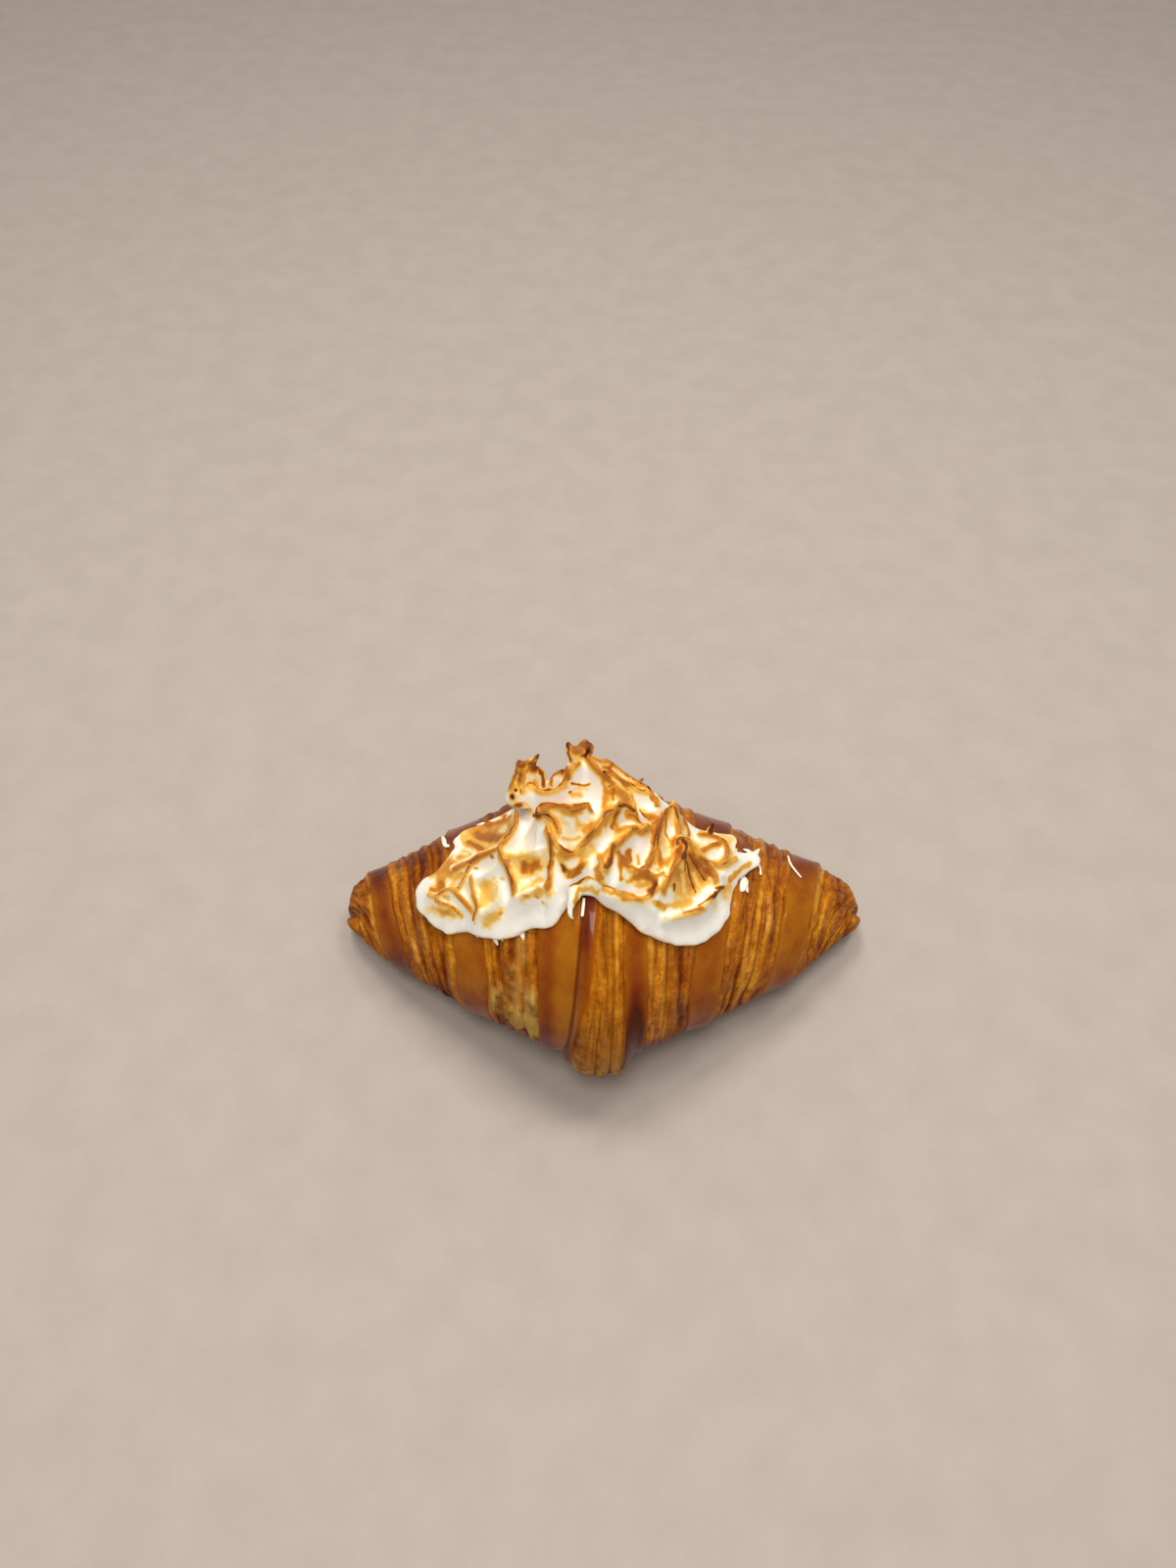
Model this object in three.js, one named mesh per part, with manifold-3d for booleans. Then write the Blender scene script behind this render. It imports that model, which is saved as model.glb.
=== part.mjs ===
// A large croissant topped with torched meringue, in millimetres, +Z up.
// The pastry is a triangle of laminated dough rolled up from its wide side. Each turn of the roll shows a smooth
// glazed panel that ends in a raised lip, and past the lip the cut layers of the dough lie open as fine ridges.
// The meringue is spread over the top in round lobes and drawn up into sharp crests, two tall horns and a curl.
// Origin: the middle of the croissant's box, on the surface that it lies on. -Y is the side with the dough's tail.

import * as THREE from "three";
import { mergeVertices } from "three/addons/utils/BufferGeometryUtils.js";
import Module from "manifold-3d";

const wasm = await Module();
wasm.setup();

// The roll: an ellipse across that shrinks from the waist to two blunt tips.
const WAIST_X = -5.5; // the thickest place
const LEFT_REACH = 83; // from the waist to the left tip
const RIGHT_REACH = 94; // from the waist to the right tip
const HALF_DEPTH = 48.5; // at the waist, along Y
const HALF_HEIGHT = 39.5; // at the waist, along Z
const BASE_CUT = 3; // how much of the round underside is pressed flat
const TIP_LIFT = 5; // how much further up the tips' middles lie
const TIP_BACK = 15; // how far the tips bend back, +Y
const CAP_SHARE = 0.95; // share of the reach where a tip begins to round off
const WAIST_ROUND = 0.05; // share of the reach over which the two halves run into each other
const LEFT_TUCK = 2.5; // how much the low front of the left half is drawn in
const LEFT_TUCK_SHARE = 0.08; // share of the reach by which it is
const TIP_TUCK = 4; // how much the low front of each tip is drawn in
const TIP_TUCK_START = 0.68; // share of the reach where that begins

// The turns of the dough, as distances out from the crease where the two sides of the triangle part:
// each pair is where a smooth panel starts and where it ends in its lip.
const CREASE_X = -7.6;
const LEFT_TURNS = [[0, 11.8], [29.4, 38.4], [52, 64.9]];
const RIGHT_TURNS = [[0, 4.1], [13.5, 19.2], [34.2, 43.4], [63, 72.1]];
const PANEL_DIP = -0.4; // a panel's low edge, against the plain ellipse
const LIP_RISE = 1.4; // its lip
const FULL_PANEL = 8; // a panel narrower than this has a lower lip
const LAYER_DIP = -0.5; // the middle height of the open layers
const LAYER_RISE = 0.5; // their ridges, up and down from it
const LAYER_PITCH = 4.2; // from ridge to ridge
const STEP_WIDTH = 0.7; // the drop from a lip to the layers
const CREASE_LEAN = 0.065; // how far the crease moves left for each degree down the front
const CREASE_WIDTH = 6; // and how far to each side it takes the dough along
const TAIL = { x: -5, width: 9, angle: -5, spread: 60, rise: 1.2 }; // the triangle's point, laid on last
const SIGHT_ANGLE = 50; // the angle round the roll, up from the front, where the turns are measured
const LEAN_RATE = 0.08; // how far a turn moves out for each degree round the roll, near the tips
const LEAN_START = 8; // the turns stand upright this close to the waist
const LEAN_FULL = 60;
const TIP_NOTCH = 2.6; // between the two folds that each tip ends in
const SIDES = 34; // facets round the roll

// Two blisters of pale dough low on the front, where a turn has torn open.
const BLISTERS = [
  { x: -31.5, angle: -12, length: 4.5, spread: 11, rise: 2.2 },
  { x: -23.5, angle: -14, length: 4, spread: 13, rise: 2.6 },
];

// The meringue: its edge in plan, the depth between its crests, and its crests.
const GAP = 0.35; // between the meringue and the pastry that carries it
const GRID = 1.9; // the plan grid of its surface
const EDGE = [
  [-58, 3], [-57, -4], [-52, -9], [-43, -14], [-36, -18], [-28, -21], [-20, -20.5], [-15, -22],
  [-11.5, -18], [-5, -16.5], [3, -20], [10, -23], [18, -23.5], [26, -19.5], [33, -16], [37.5, -9],
  [39.5, -2], [43, 4], [49, 11], [47, 16], [40, 19], [33, 15.5], [26, 17], [19, 23], [14, 29],
  [6, 33], [-3, 35], [-13, 34], [-21, 28.5], [-32, 22], [-42, 17], [-51, 10],
];
const RIM_WIDTH = 7; // over which the edge rounds up
const FLOOR_DEPTH = 5; // between the crests
const HEAP = { x: -8, y: 6, spread: 17, rise: 7 }; // the taller middle
const FLANK = 2.4; // how fast a crest falls away on its steep side
const SOFT_FLANK = 5.5; // and on its long side
const BLEND = 3.5; // how sharply neighbouring crests meet

// Each crest: its points in plan with the depth of meringue under each, and the side of its long flank,
// 1 to the left of its run, -1 to the right, 0 on neither.
const CRESTS = [
  { soft: 1, run: [[-46, 0, 11], [-37, -1, 13], [-32, 0, 15], [-27, 4, 15], [-25, 13, 16]] },
  { soft: 1, run: [[-31, -2, 15], [-29, -8, 12], [-27, -13, 10]] },
  { soft: -1, run: [[-31, -2, 15], [-24, -6, 15], [-17, -3, 17], [-16, -10, 15], [-16, -17, 12]] },
  { soft: -1, run: [[-20, 1, 21], [-18, 3, 21], [-12, 1, 21], [-5, -1, 21]] },
  { soft: -1, run: [[3.6, 2, 20], [0, -2, 19], [-4, -7, 18], [-7, -11, 16]] },
  { soft: -1, run: [[-24, 14, 21], [-21, 10, 21], [-17, 8, 21], [-12, 9, 22], [-7, 12, 26]] },
  { soft: -1, run: [[-6, 14, 26], [-2, 10, 23], [3, 8.5, 20], [7, 8, 18], [8, 3, 16], [4, -5, 14], [1, -13, 12]] },
  { soft: 0, run: [[-4, 25, 16], [1, 24, 15], [6, 22, 13], [13, 22, 11], [18, 18, 9]] },
  { soft: 1, run: [[20, 14, 14], [15.5, 5, 14], [14, -2, 14], [11, -9, 12], [6, -11, 12], [3, -8, 12]] },
  { soft: 0, run: [[21, 12, 14], [22, 5, 13], [23, 1, 15], [22, -4, 15], [19, -10, 14], [15, -16, 11]] },
  { soft: 1, run: [[24, 2, 16], [27, -1, 13], [31, -4, 12], [34, -6, 9]] },
  { soft: 0, run: [[26, 6, 10], [28.5, 2, 9.5], [33, 2, 9.5], [37, 7.5, 9], [36, 12, 8]] },
  { soft: 0, run: [[34, -6, 9], [38, -2, 8.5], [42, 4, 7.5], [46.5, 11, 6]] },
  { soft: 1, run: [[17, -19.5, 9], [23, -17, 10], [28, -13.5, 10], [33, -7, 9]] },
  { soft: -1, run: [[-10, -16, 12], [-4, -15, 13], [4, -16, 11.5], [11, -17, 11.5], [15, -12, 12]] },
  { soft: 0, run: [[-53, -2, 8.5], [-49, -3, 9], [-45, -7, 9], [-40, -13, 8]] },
  { soft: -1, run: [[-42, -4, 10], [-34, -5.5, 11], [-31, -10, 11], [-33, -15, 8.5]] },
  { soft: 0, run: [[-31, -13, 10], [-24, -15, 10.5], [-16, -16, 12]] },
];

// Each horn: its middle line, with the radius at each point. It starts inside the meringue.
const HORNS = {
  leftHorn: [[-20, 10, 80, 6], [-22, 12, 86, 4.6], [-23.2, 14, 90.5, 3.2], [-21.6, 15, 93.5, 1.9], [-18.6, 15.5, 97, 0.4]],
  tallHorn: [[-6.5, 10, 84, 7], [-7.5, 11.5, 92, 5], [-8.6, 13, 98, 3.4], [-10.4, 14.5, 101.5, 2.2], [-11.4, 15.2, 104, 0.8]],
  tallHornBulb: [[-7, 12, 92, 4], [-6, 13.5, 98, 2.8], [-5.4, 14.2, 101.5, 2.6], [-5.6, 14.5, 104, 1.2]],
  curl: [[22, -1, 72, 3.4], [22.5, 0, 77, 2], [22, 0.8, 79, 1.4], [20.8, 0.2, 78.6, 0.6]],
  beak: [[-14, 1, 90, 3], [-18, 0.8, 91.6, 2], [-20.8, 0.2, 91.4, 0.6]],
  hangingTip: [[-9.5, -16, 79, 3.6], [-10, -19.5, 79, 2.4], [-10.4, -22.5, 76, 1.2], [-9.8, -24, 73.5, 0.4]],
};
const HORN_SIDES = 7;
const HORN_STEPS = 7;

const clamp = THREE.MathUtils.clamp;
const smooth = (x) => THREE.MathUtils.smoothstep(x, 0, 1);
const radians = THREE.MathUtils.degToRad;

// ---- The pastry ----

// The share of the way from the waist to a tip.
function reachShare(x) {
  const out = x - WAIST_X;
  return clamp(out < 0 ? -out / LEFT_REACH : out / RIGHT_REACH, 0, 1);
}

// The ellipse of the roll at x: its middle and its half sizes.
function section(x) {
  const share = reachShare(x);
  const roundWaist = Math.hypot(share, WAIST_ROUND) - WAIST_ROUND;
  const cap = Math.sqrt(1 - clamp((share - CAP_SHARE) / (1 - CAP_SHARE), 0, 1) ** 2);
  const size = (1 - 0.9 * roundWaist ** 1.03) ** 0.9;
  const tuckedSide = x < WAIST_X ? LEFT_TUCK * smooth(share / LEFT_TUCK_SHARE) : 0;
  const tuck = Math.max(tuckedSide, TIP_TUCK * smooth((share - TIP_TUCK_START) / 0.25));
  const halfHeight = (HALF_HEIGHT * size * (1 + 0.1 * smooth(share)) - 0.4 * tuck) * cap;
  return {
    y: TIP_BACK * share ** 1.5 + 0.4 * tuck,
    z: halfHeight - BASE_CUT + TIP_LIFT * smooth((share - 0.3) / 0.7) + 0.6 * tuck,
    halfDepth: (HALF_DEPTH * size - 0.5 * tuck) * cap,
    halfHeight,
  };
}

// How far a turn has moved out at an angle, as the roll is wound on a slant, and the crease with it.
function lean(x, angle) {
  const out = x - WAIST_X;
  const crease = Math.exp(-(((x - CREASE_X) / CREASE_WIDTH) ** 2)) * CREASE_LEAN;
  const wound = smooth((Math.abs(out) - LEAN_START) / (LEAN_FULL - LEAN_START));
  const tipFade = 1 - smooth((reachShare(x) - 0.78) / 0.2);
  const slant = Math.sign(out) * LEAN_RATE * wound * tipFade * (angle - SIGHT_ANGLE);
  return slant + crease * (clamp(angle, -30, 90) - SIGHT_ANGLE);
}

function turnsOf(x) {
  const left = x < CREASE_X;
  const tip = left ? WAIST_X - LEFT_REACH : WAIST_X + RIGHT_REACH;
  return { turns: left ? LEFT_TURNS : RIGHT_TURNS, out: Math.abs(x - CREASE_X), end: Math.abs(tip - CREASE_X) };
}

// The height of panels, lips and open layers over the plain ellipse.
function relief(x, angle) {
  const { turns, out, end } = turnsOf(x);
  const last = turns.findLastIndex(([start]) => out >= start);
  const [start, lip] = turns[last];
  const next = last + 1 < turns.length ? turns[last + 1][0] : end;
  const lipRise = LIP_RISE * Math.min(1, (lip - start) / FULL_PANEL);
  let rise;
  if (out <= lip) {
    rise = PANEL_DIP + (lipRise - PANEL_DIP) * ((out - start) / (lip - start)) ** 1.4;
  } else {
    const ridges = Math.round((next - lip) / LAYER_PITCH);
    const phase = (2 * Math.PI * ridges * (out - lip)) / (next - lip);
    const layers = LAYER_DIP - LAYER_RISE * Math.cos(phase + 0.5 * Math.sin(radians(3 * angle)));
    rise = layers + (lipRise - layers) * (1 - smooth((out - lip) / STEP_WIDTH));
  }
  if (x > CREASE_X)
    rise += TAIL.rise * Math.exp(-(((x - TAIL.x) / TAIL.width) ** 2) - ((angle - TAIL.angle) / TAIL.spread) ** 2);
  for (const b of BLISTERS)
    rise += b.rise * Math.exp(-(((x - b.x) / b.length) ** 2) - ((angle - b.angle) / b.spread) ** 2);
  const pressed = smooth((Math.abs(angle - 270) - 12) / 30) * smooth((angle + 90 - 12) / 30);
  const shrink = 1 - 0.5 * smooth((reachShare(x) - 0.8) / 0.2);
  return rise * pressed * shrink;
}

// The point of the crust where the turn that passes x at the sight angle has come round to an angle.
function crustPoint(x, angle, grow) {
  const along = x + lean(x, angle);
  const { y, z, halfDepth, halfHeight } = section(along);
  const out = grow + (halfDepth > 0 ? relief(x, angle) * Math.min(1, halfDepth / 6) : 0);
  const fold = tipFold(along, angle);
  const a = radians(angle);
  return [
    along + fold,
    y - (halfDepth + out) * Math.cos(a),
    z + (halfHeight + out) * Math.sin(a),
  ];
}

// The tips end in two folds of dough with a notch between them, which pulls the end in along X.
function tipFold(x, angle) {
  const share = reachShare(x);
  const notch = Math.exp(-(((angle - 25) / 16) ** 2));
  return -Math.sign(x - WAIST_X) * TIP_NOTCH * notch * smooth((share - 0.9) / 0.1);
}

// The places along the roll of the rows of facets: ends and middle of each panel, and each ridge and groove.
function rowPlaces() {
  const places = [];
  for (const [side, reach, turns] of [[-1, LEFT_REACH, LEFT_TURNS], [1, RIGHT_REACH, RIGHT_TURNS]]) {
    const end = Math.abs(WAIST_X + side * reach - CREASE_X);
    const capStart = end - (1 - CAP_SHARE) * reach;
    const row = [];
    turns.forEach(([start, lip], i) => {
      const next = i + 1 < turns.length ? turns[i + 1][0] : end;
      const steps = 2 * Math.round((next - lip) / LAYER_PITCH);
      if (start > 0) row.push(start);
      row.push((start + lip) / 2, lip, lip + STEP_WIDTH);
      for (let k = 1; k < steps; k++) row.push(lip + ((next - lip) * k) / steps);
    });
    const capped = row.filter((out) => out < capStart - 1);
    for (const share of [0, 0.45, 0.75, 0.93]) capped.push(capStart + share * (end - capStart));
    places.push(...capped.map((out) => CREASE_X + side * out));
  }
  return places.concat(CREASE_X - 0.4, CREASE_X + 0.4).sort((p, q) => p - q);
}

// A closed skin over rings of points, with a point at each end.
function skin(rings, first, last) {
  const n = rings[0].length;
  const points = [first, ...rings.flat(), last];
  const faces = [];
  const at = (ring, k) => 1 + ring * n + (k % n);
  for (let k = 0; k < n; k++) {
    faces.push(0, at(0, k), at(0, k + 1));
    faces.push(points.length - 1, at(rings.length - 1, k + 1), at(rings.length - 1, k));
    for (let r = 0; r + 1 < rings.length; r++) {
      faces.push(at(r, k), at(r + 1, k), at(r, k + 1));
      faces.push(at(r, k + 1), at(r + 1, k), at(r + 1, k + 1));
    }
  }
  return solidOf(points, faces);
}

function solidOf(points, faces) {
  const geometry = new THREE.BufferGeometry();
  geometry.setAttribute("position", new THREE.Float32BufferAttribute(points.flat(), 3));
  geometry.setIndex(faces);
  return solidFrom(geometry);
}

function solidFrom(geometry) {
  geometry.deleteAttribute("normal");
  geometry.deleteAttribute("uv");
  const merged = mergeVertices(geometry, 1e-4);
  const made = new wasm.Manifold(
    new wasm.Mesh({
      numProp: 3,
      vertProperties: merged.getAttribute("position").array,
      triVerts: new Uint32Array(merged.index.array),
    }),
  );
  if (made.volume() > 0) return made;
  const flipped = new Uint32Array(merged.index.array).reverse();
  return new wasm.Manifold(
    new wasm.Mesh({ numProp: 3, vertProperties: merged.getAttribute("position").array, triVerts: flipped }),
  );
}

// The whole roll, cut flat where it lies, or the same roll grown all round by the gap to the meringue.
function roll(grow) {
  const rings = rowPlaces().map((x) =>
    Array.from({ length: SIDES }, (_, k) => crustPoint(x, -90 + (360 * k) / SIDES, grow)),
  );
  const tip = (x) => {
    const { y, z } = section(x);
    return [x + Math.sign(x) * grow, y, z];
  };
  const whole = skin(rings, tip(WAIST_X - LEFT_REACH), tip(WAIST_X + RIGHT_REACH));
  const under = new THREE.BoxGeometry(300, 200, 40).translate(0, 0, -20);
  return whole.subtract(solidFrom(under));
}

// ---- The meringue ----

const edgeCurve = new THREE.CatmullRomCurve3(EDGE.map(([x, y]) => new THREE.Vector3(x, y, 0)), true);
const edge = edgeCurve.getPoints(220).slice(0, -1);

// The height of the smooth roll's top over a place in plan.
function rollTop(x, y) {
  const s = section(x);
  const across = clamp((y - s.y) / s.halfDepth, -1, 1);
  return s.z + s.halfHeight * Math.sqrt(1 - across * across);
}

// The nearest point to (x, y) on the stretch from p to q, with its share of the stretch and the side it is on.
function nearestOn(x, y, p, q) {
  const dx = q[0] - p[0];
  const dy = q[1] - p[1];
  const share = clamp(((x - p[0]) * dx + (y - p[1]) * dy) / (dx * dx + dy * dy), 0, 1);
  const nx = p[0] + share * dx;
  const ny = p[1] + share * dy;
  return { x: nx, y: ny, share, distance: Math.hypot(x - nx, y - ny), side: Math.sign(dx * (y - ny) - dy * (x - nx)) };
}

// How far (x, y) lies inside the edge, less than zero outside, and the nearest point of the edge.
function insideEdge(x, y) {
  let best = { distance: Infinity };
  let crossings = 0;
  edge.forEach((p, i) => {
    const q = edge[(i + 1) % edge.length];
    const found = nearestOn(x, y, [p.x, p.y], [q.x, q.y]);
    if (found.distance < best.distance) best = found;
    if (p.y > y !== q.y > y && x < p.x + ((y - p.y) / (q.y - p.y)) * (q.x - p.x)) crossings++;
  });
  return { depth: crossings % 2 ? best.distance : -best.distance, near: best };
}

// Each crest's curve as short stretches.
const crests = CRESTS.map(({ soft, run }) => {
  const curve = new THREE.CatmullRomCurve3(run.map(([x, y, depth]) => new THREE.Vector3(x, y, depth)));
  return { soft, points: curve.getPoints(run.length * 4).map((p) => [p.x, p.y, p.z]) };
});

function nearestOnCrest(crest, x, y) {
  let best = { distance: Infinity };
  for (let i = 0; i + 1 < crest.points.length; i++) {
    const [p, q] = [crest.points[i], crest.points[i + 1]];
    const found = nearestOn(x, y, p, q);
    if (found.distance < best.distance) best = { ...found, depth: p[2] + found.share * (q[2] - p[2]) };
  }
  return best;
}

// The depth of the meringue, measured straight up from the roll.
function depthAt(x, y, inside) {
  if (inside <= 0) return 2.5 * inside;
  const rim = Math.sqrt(1 - (1 - Math.min(inside / RIM_WIDTH, 1)) ** 2);
  const heap = HEAP.rise * Math.exp(-((x - HEAP.x) ** 2 + (y - HEAP.y) ** 2) / HEAP.spread ** 2);
  const floor = (FLOOR_DEPTH + heap) * rim;
  let sum = 0;
  for (const crest of crests) {
    const near = nearestOnCrest(crest, x, y);
    const flank = near.side === crest.soft ? SOFT_FLANK : FLANK;
    const lift = Math.max(0, near.depth - floor) * Math.exp(-near.distance / flank);
    sum += lift ** BLEND;
  }
  return floor + sum ** (1 / BLEND) * Math.min(1, inside / 3);
}

// A grid point moves onto the edge or onto a crest that passes close by, so that both stay crisp.
function settle(x, y) {
  const reach = 0.42 * GRID;
  const { near } = insideEdge(x, y);
  if (near.distance < reach) return [near.x, near.y];
  for (const crest of crests) {
    const on = nearestOnCrest(crest, x, y);
    if (on.distance < reach) return [on.x, on.y];
  }
  return [x, y];
}

// The spread body of the meringue: a skin over the plan grid, with a floor deep inside the roll.
function spreadBody() {
  const xs = EDGE.map(([x]) => x);
  const ys = EDGE.map(([, y]) => y);
  const left = Math.min(...xs) - 2 * GRID;
  const front = Math.min(...ys) - 2 * GRID;
  const columns = Math.ceil((Math.max(...xs) + 2 * GRID - left) / GRID);
  const rows = Math.ceil((Math.max(...ys) + 2 * GRID - front) / GRID);
  const node = (i, j) => i * (rows + 1) + j;
  const tops = [];
  const floors = [];
  const inside = [];
  for (let i = 0; i <= columns; i++)
    for (let j = 0; j <= rows; j++) {
      const [x, y] = settle(left + i * GRID, front + j * GRID);
      const depth = insideEdge(x, y).depth;
      inside.push(depth);
      tops.push([x, y, rollTop(x, y) + depthAt(x, y, depth)]);
      floors.push([x, y, rollTop(x, y) - 14]);
    }
  const kept = (i, j) => {
    if (i < 0 || j < 0 || i >= columns || j >= rows) return false;
    const corners = [node(i, j), node(i + 1, j), node(i, j + 1), node(i + 1, j + 1)];
    return corners.some((c) => inside[c] > -0.5 * GRID);
  };
  const under = tops.length;
  const faces = [];
  const quad = (a, b, c, d) => faces.push(a, b, c, a, c, d);
  for (let i = 0; i < columns; i++)
    for (let j = 0; j < rows; j++) {
      if (!kept(i, j)) continue;
      const [a, b, c, d] = [node(i, j), node(i + 1, j), node(i + 1, j + 1), node(i, j + 1)];
      const split = Math.abs(tops[a][2] - tops[c][2]) <= Math.abs(tops[b][2] - tops[d][2]);
      if (split) quad(a, b, c, d);
      else quad(b, c, d, a);
      quad(under + d, under + c, under + b, under + a);
      if (!kept(i, j - 1)) quad(a, under + a, under + b, b);
      if (!kept(i + 1, j)) quad(b, under + b, under + c, c);
      if (!kept(i, j + 1)) quad(c, under + c, under + d, d);
      if (!kept(i - 1, j)) quad(d, under + d, under + a, a);
    }
  return solidOf([...tops, ...floors], faces);
}

// A tapered horn along a smooth curve.
function horn(line) {
  const curve = new THREE.CatmullRomCurve3(line.map(([x, y, z]) => new THREE.Vector3(x, y, z)));
  const frames = curve.computeFrenetFrames(HORN_STEPS);
  const rings = [];
  for (let i = 0; i < HORN_STEPS; i++) {
    const share = i / HORN_STEPS;
    const middle = curve.getPoint(share);
    const place = share * (line.length - 1);
    const k = Math.floor(place);
    const radius = line[k][3] + (place - k) * (line[k + 1][3] - line[k][3]);
    rings.push(
      Array.from({ length: HORN_SIDES }, (_, s) => {
        const a = (2 * Math.PI * s) / HORN_SIDES;
        return middle
          .clone()
          .addScaledVector(frames.normals[i], radius * Math.cos(a))
          .addScaledVector(frames.binormals[i], radius * Math.sin(a))
          .toArray();
      }),
    );
  }
  return skin(rings, curve.getPoint(0).toArray(), curve.getPoint(1).toArray());
}

function meringueSolid() {
  const joined = Object.values(HORNS).reduce((body, line) => body.add(horn(line)), spreadBody());
  const trimmed = joined.subtract(roll(GAP));
  return trimmed.decompose().reduce((most, body) => (body.volume() > most.volume() ? body : most));
}

// ---- The scene ----

function meshOf(name, solid, colour, roughness) {
  const { numProp, vertProperties, triVerts } = solid.getMesh();
  const positions = [];
  for (let i = 0; i < vertProperties.length; i += numProp) positions.push(...vertProperties.subarray(i, i + 3));
  const geometry = new THREE.BufferGeometry();
  geometry.setAttribute("position", new THREE.Float32BufferAttribute(positions, 3));
  geometry.setIndex(Array.from(triVerts));
  geometry.computeVertexNormals();
  const mesh = new THREE.Mesh(geometry, new THREE.MeshStandardMaterial({ color: colour, roughness, metalness: 0 }));
  mesh.name = name;
  return mesh;
}

const croissant = new THREE.Group();
croissant.add(meshOf("croissant", roll(0), 0x9a5512, 0.35));
croissant.add(meshOf("meringue", meringueSolid(), 0xf2e2c4, 0.6));

export default croissant;
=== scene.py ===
from math import cos, pi, radians, sin

import bpy
import numpy as np
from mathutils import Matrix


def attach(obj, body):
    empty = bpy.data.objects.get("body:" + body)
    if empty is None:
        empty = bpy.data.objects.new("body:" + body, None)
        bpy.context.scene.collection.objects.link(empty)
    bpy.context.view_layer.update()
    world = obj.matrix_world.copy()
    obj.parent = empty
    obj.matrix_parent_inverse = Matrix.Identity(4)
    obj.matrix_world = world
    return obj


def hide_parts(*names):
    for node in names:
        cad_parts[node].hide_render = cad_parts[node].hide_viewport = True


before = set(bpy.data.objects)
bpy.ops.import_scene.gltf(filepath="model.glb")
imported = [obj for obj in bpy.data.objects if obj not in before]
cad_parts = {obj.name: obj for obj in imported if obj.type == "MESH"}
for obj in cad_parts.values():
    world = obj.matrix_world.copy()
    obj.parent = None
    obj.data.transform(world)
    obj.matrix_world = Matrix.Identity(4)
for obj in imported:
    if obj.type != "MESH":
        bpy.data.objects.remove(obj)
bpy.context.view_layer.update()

# ---- The floor, the light and the view ----
# A plain pale surface lit softly from above and a little behind, as under a shop's ceiling lamps. It is
# seen by someone who stands in front of it and looks down at it from about 36 cm above the surface.
MM = 0.001
EYE = (-5.2, -189.0, 359.0)
LOOKS_DOWN = 53.46
LENS, SENSOR = 27.05, 36
FLOOR_DROP = 0.1  # millimetres under the croissant
FLOOR_SIZE = 6.0  # metres
FLOOR_DULL, FLOOR_PALE, FLOOR_GRAIN = (170, 159, 150), (175, 164, 155), 60.0
ROOM_COLOUR, ROOM_STRENGTH = (1.0, 0.97, 0.93, 1.0), 0.46
LAMP_COLOUR = (1.0, 0.96, 0.90)
# Each lamp: its place, the point that it shines on, the side of its square panel, and its power in watts.
LAMPS = [
    ((-0.16, 0.25, 1.06), (0.0, 0.0, 0.03), 0.28, 4.7),
    ((0.30, 0.16, 1.00), (0.0, 0.0, 0.03), 0.22, 2.8),
    ((-0.05, -0.36, 1.12), (0.0, 0.0, 0.04), 0.30, 4.7),
]


def select_only(*pieces):
    """Selects these pieces and nothing else, with the last of them active."""
    bpy.ops.object.select_all(action="DESELECT")
    for piece in pieces:
        piece.select_set(True)
        bpy.context.view_layer.objects.active = piece


def paint(red, green, blue):
    """A colour as a screen shows it, from 0 to 255, as the amounts of light that a material takes."""
    shown = np.array([red, green, blue]) / 255
    light = np.where(shown <= 0.04045, shown / 12.92, ((shown + 0.055) / 1.055) ** 2.4)
    return (*light.tolist(), 1.0)


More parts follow.
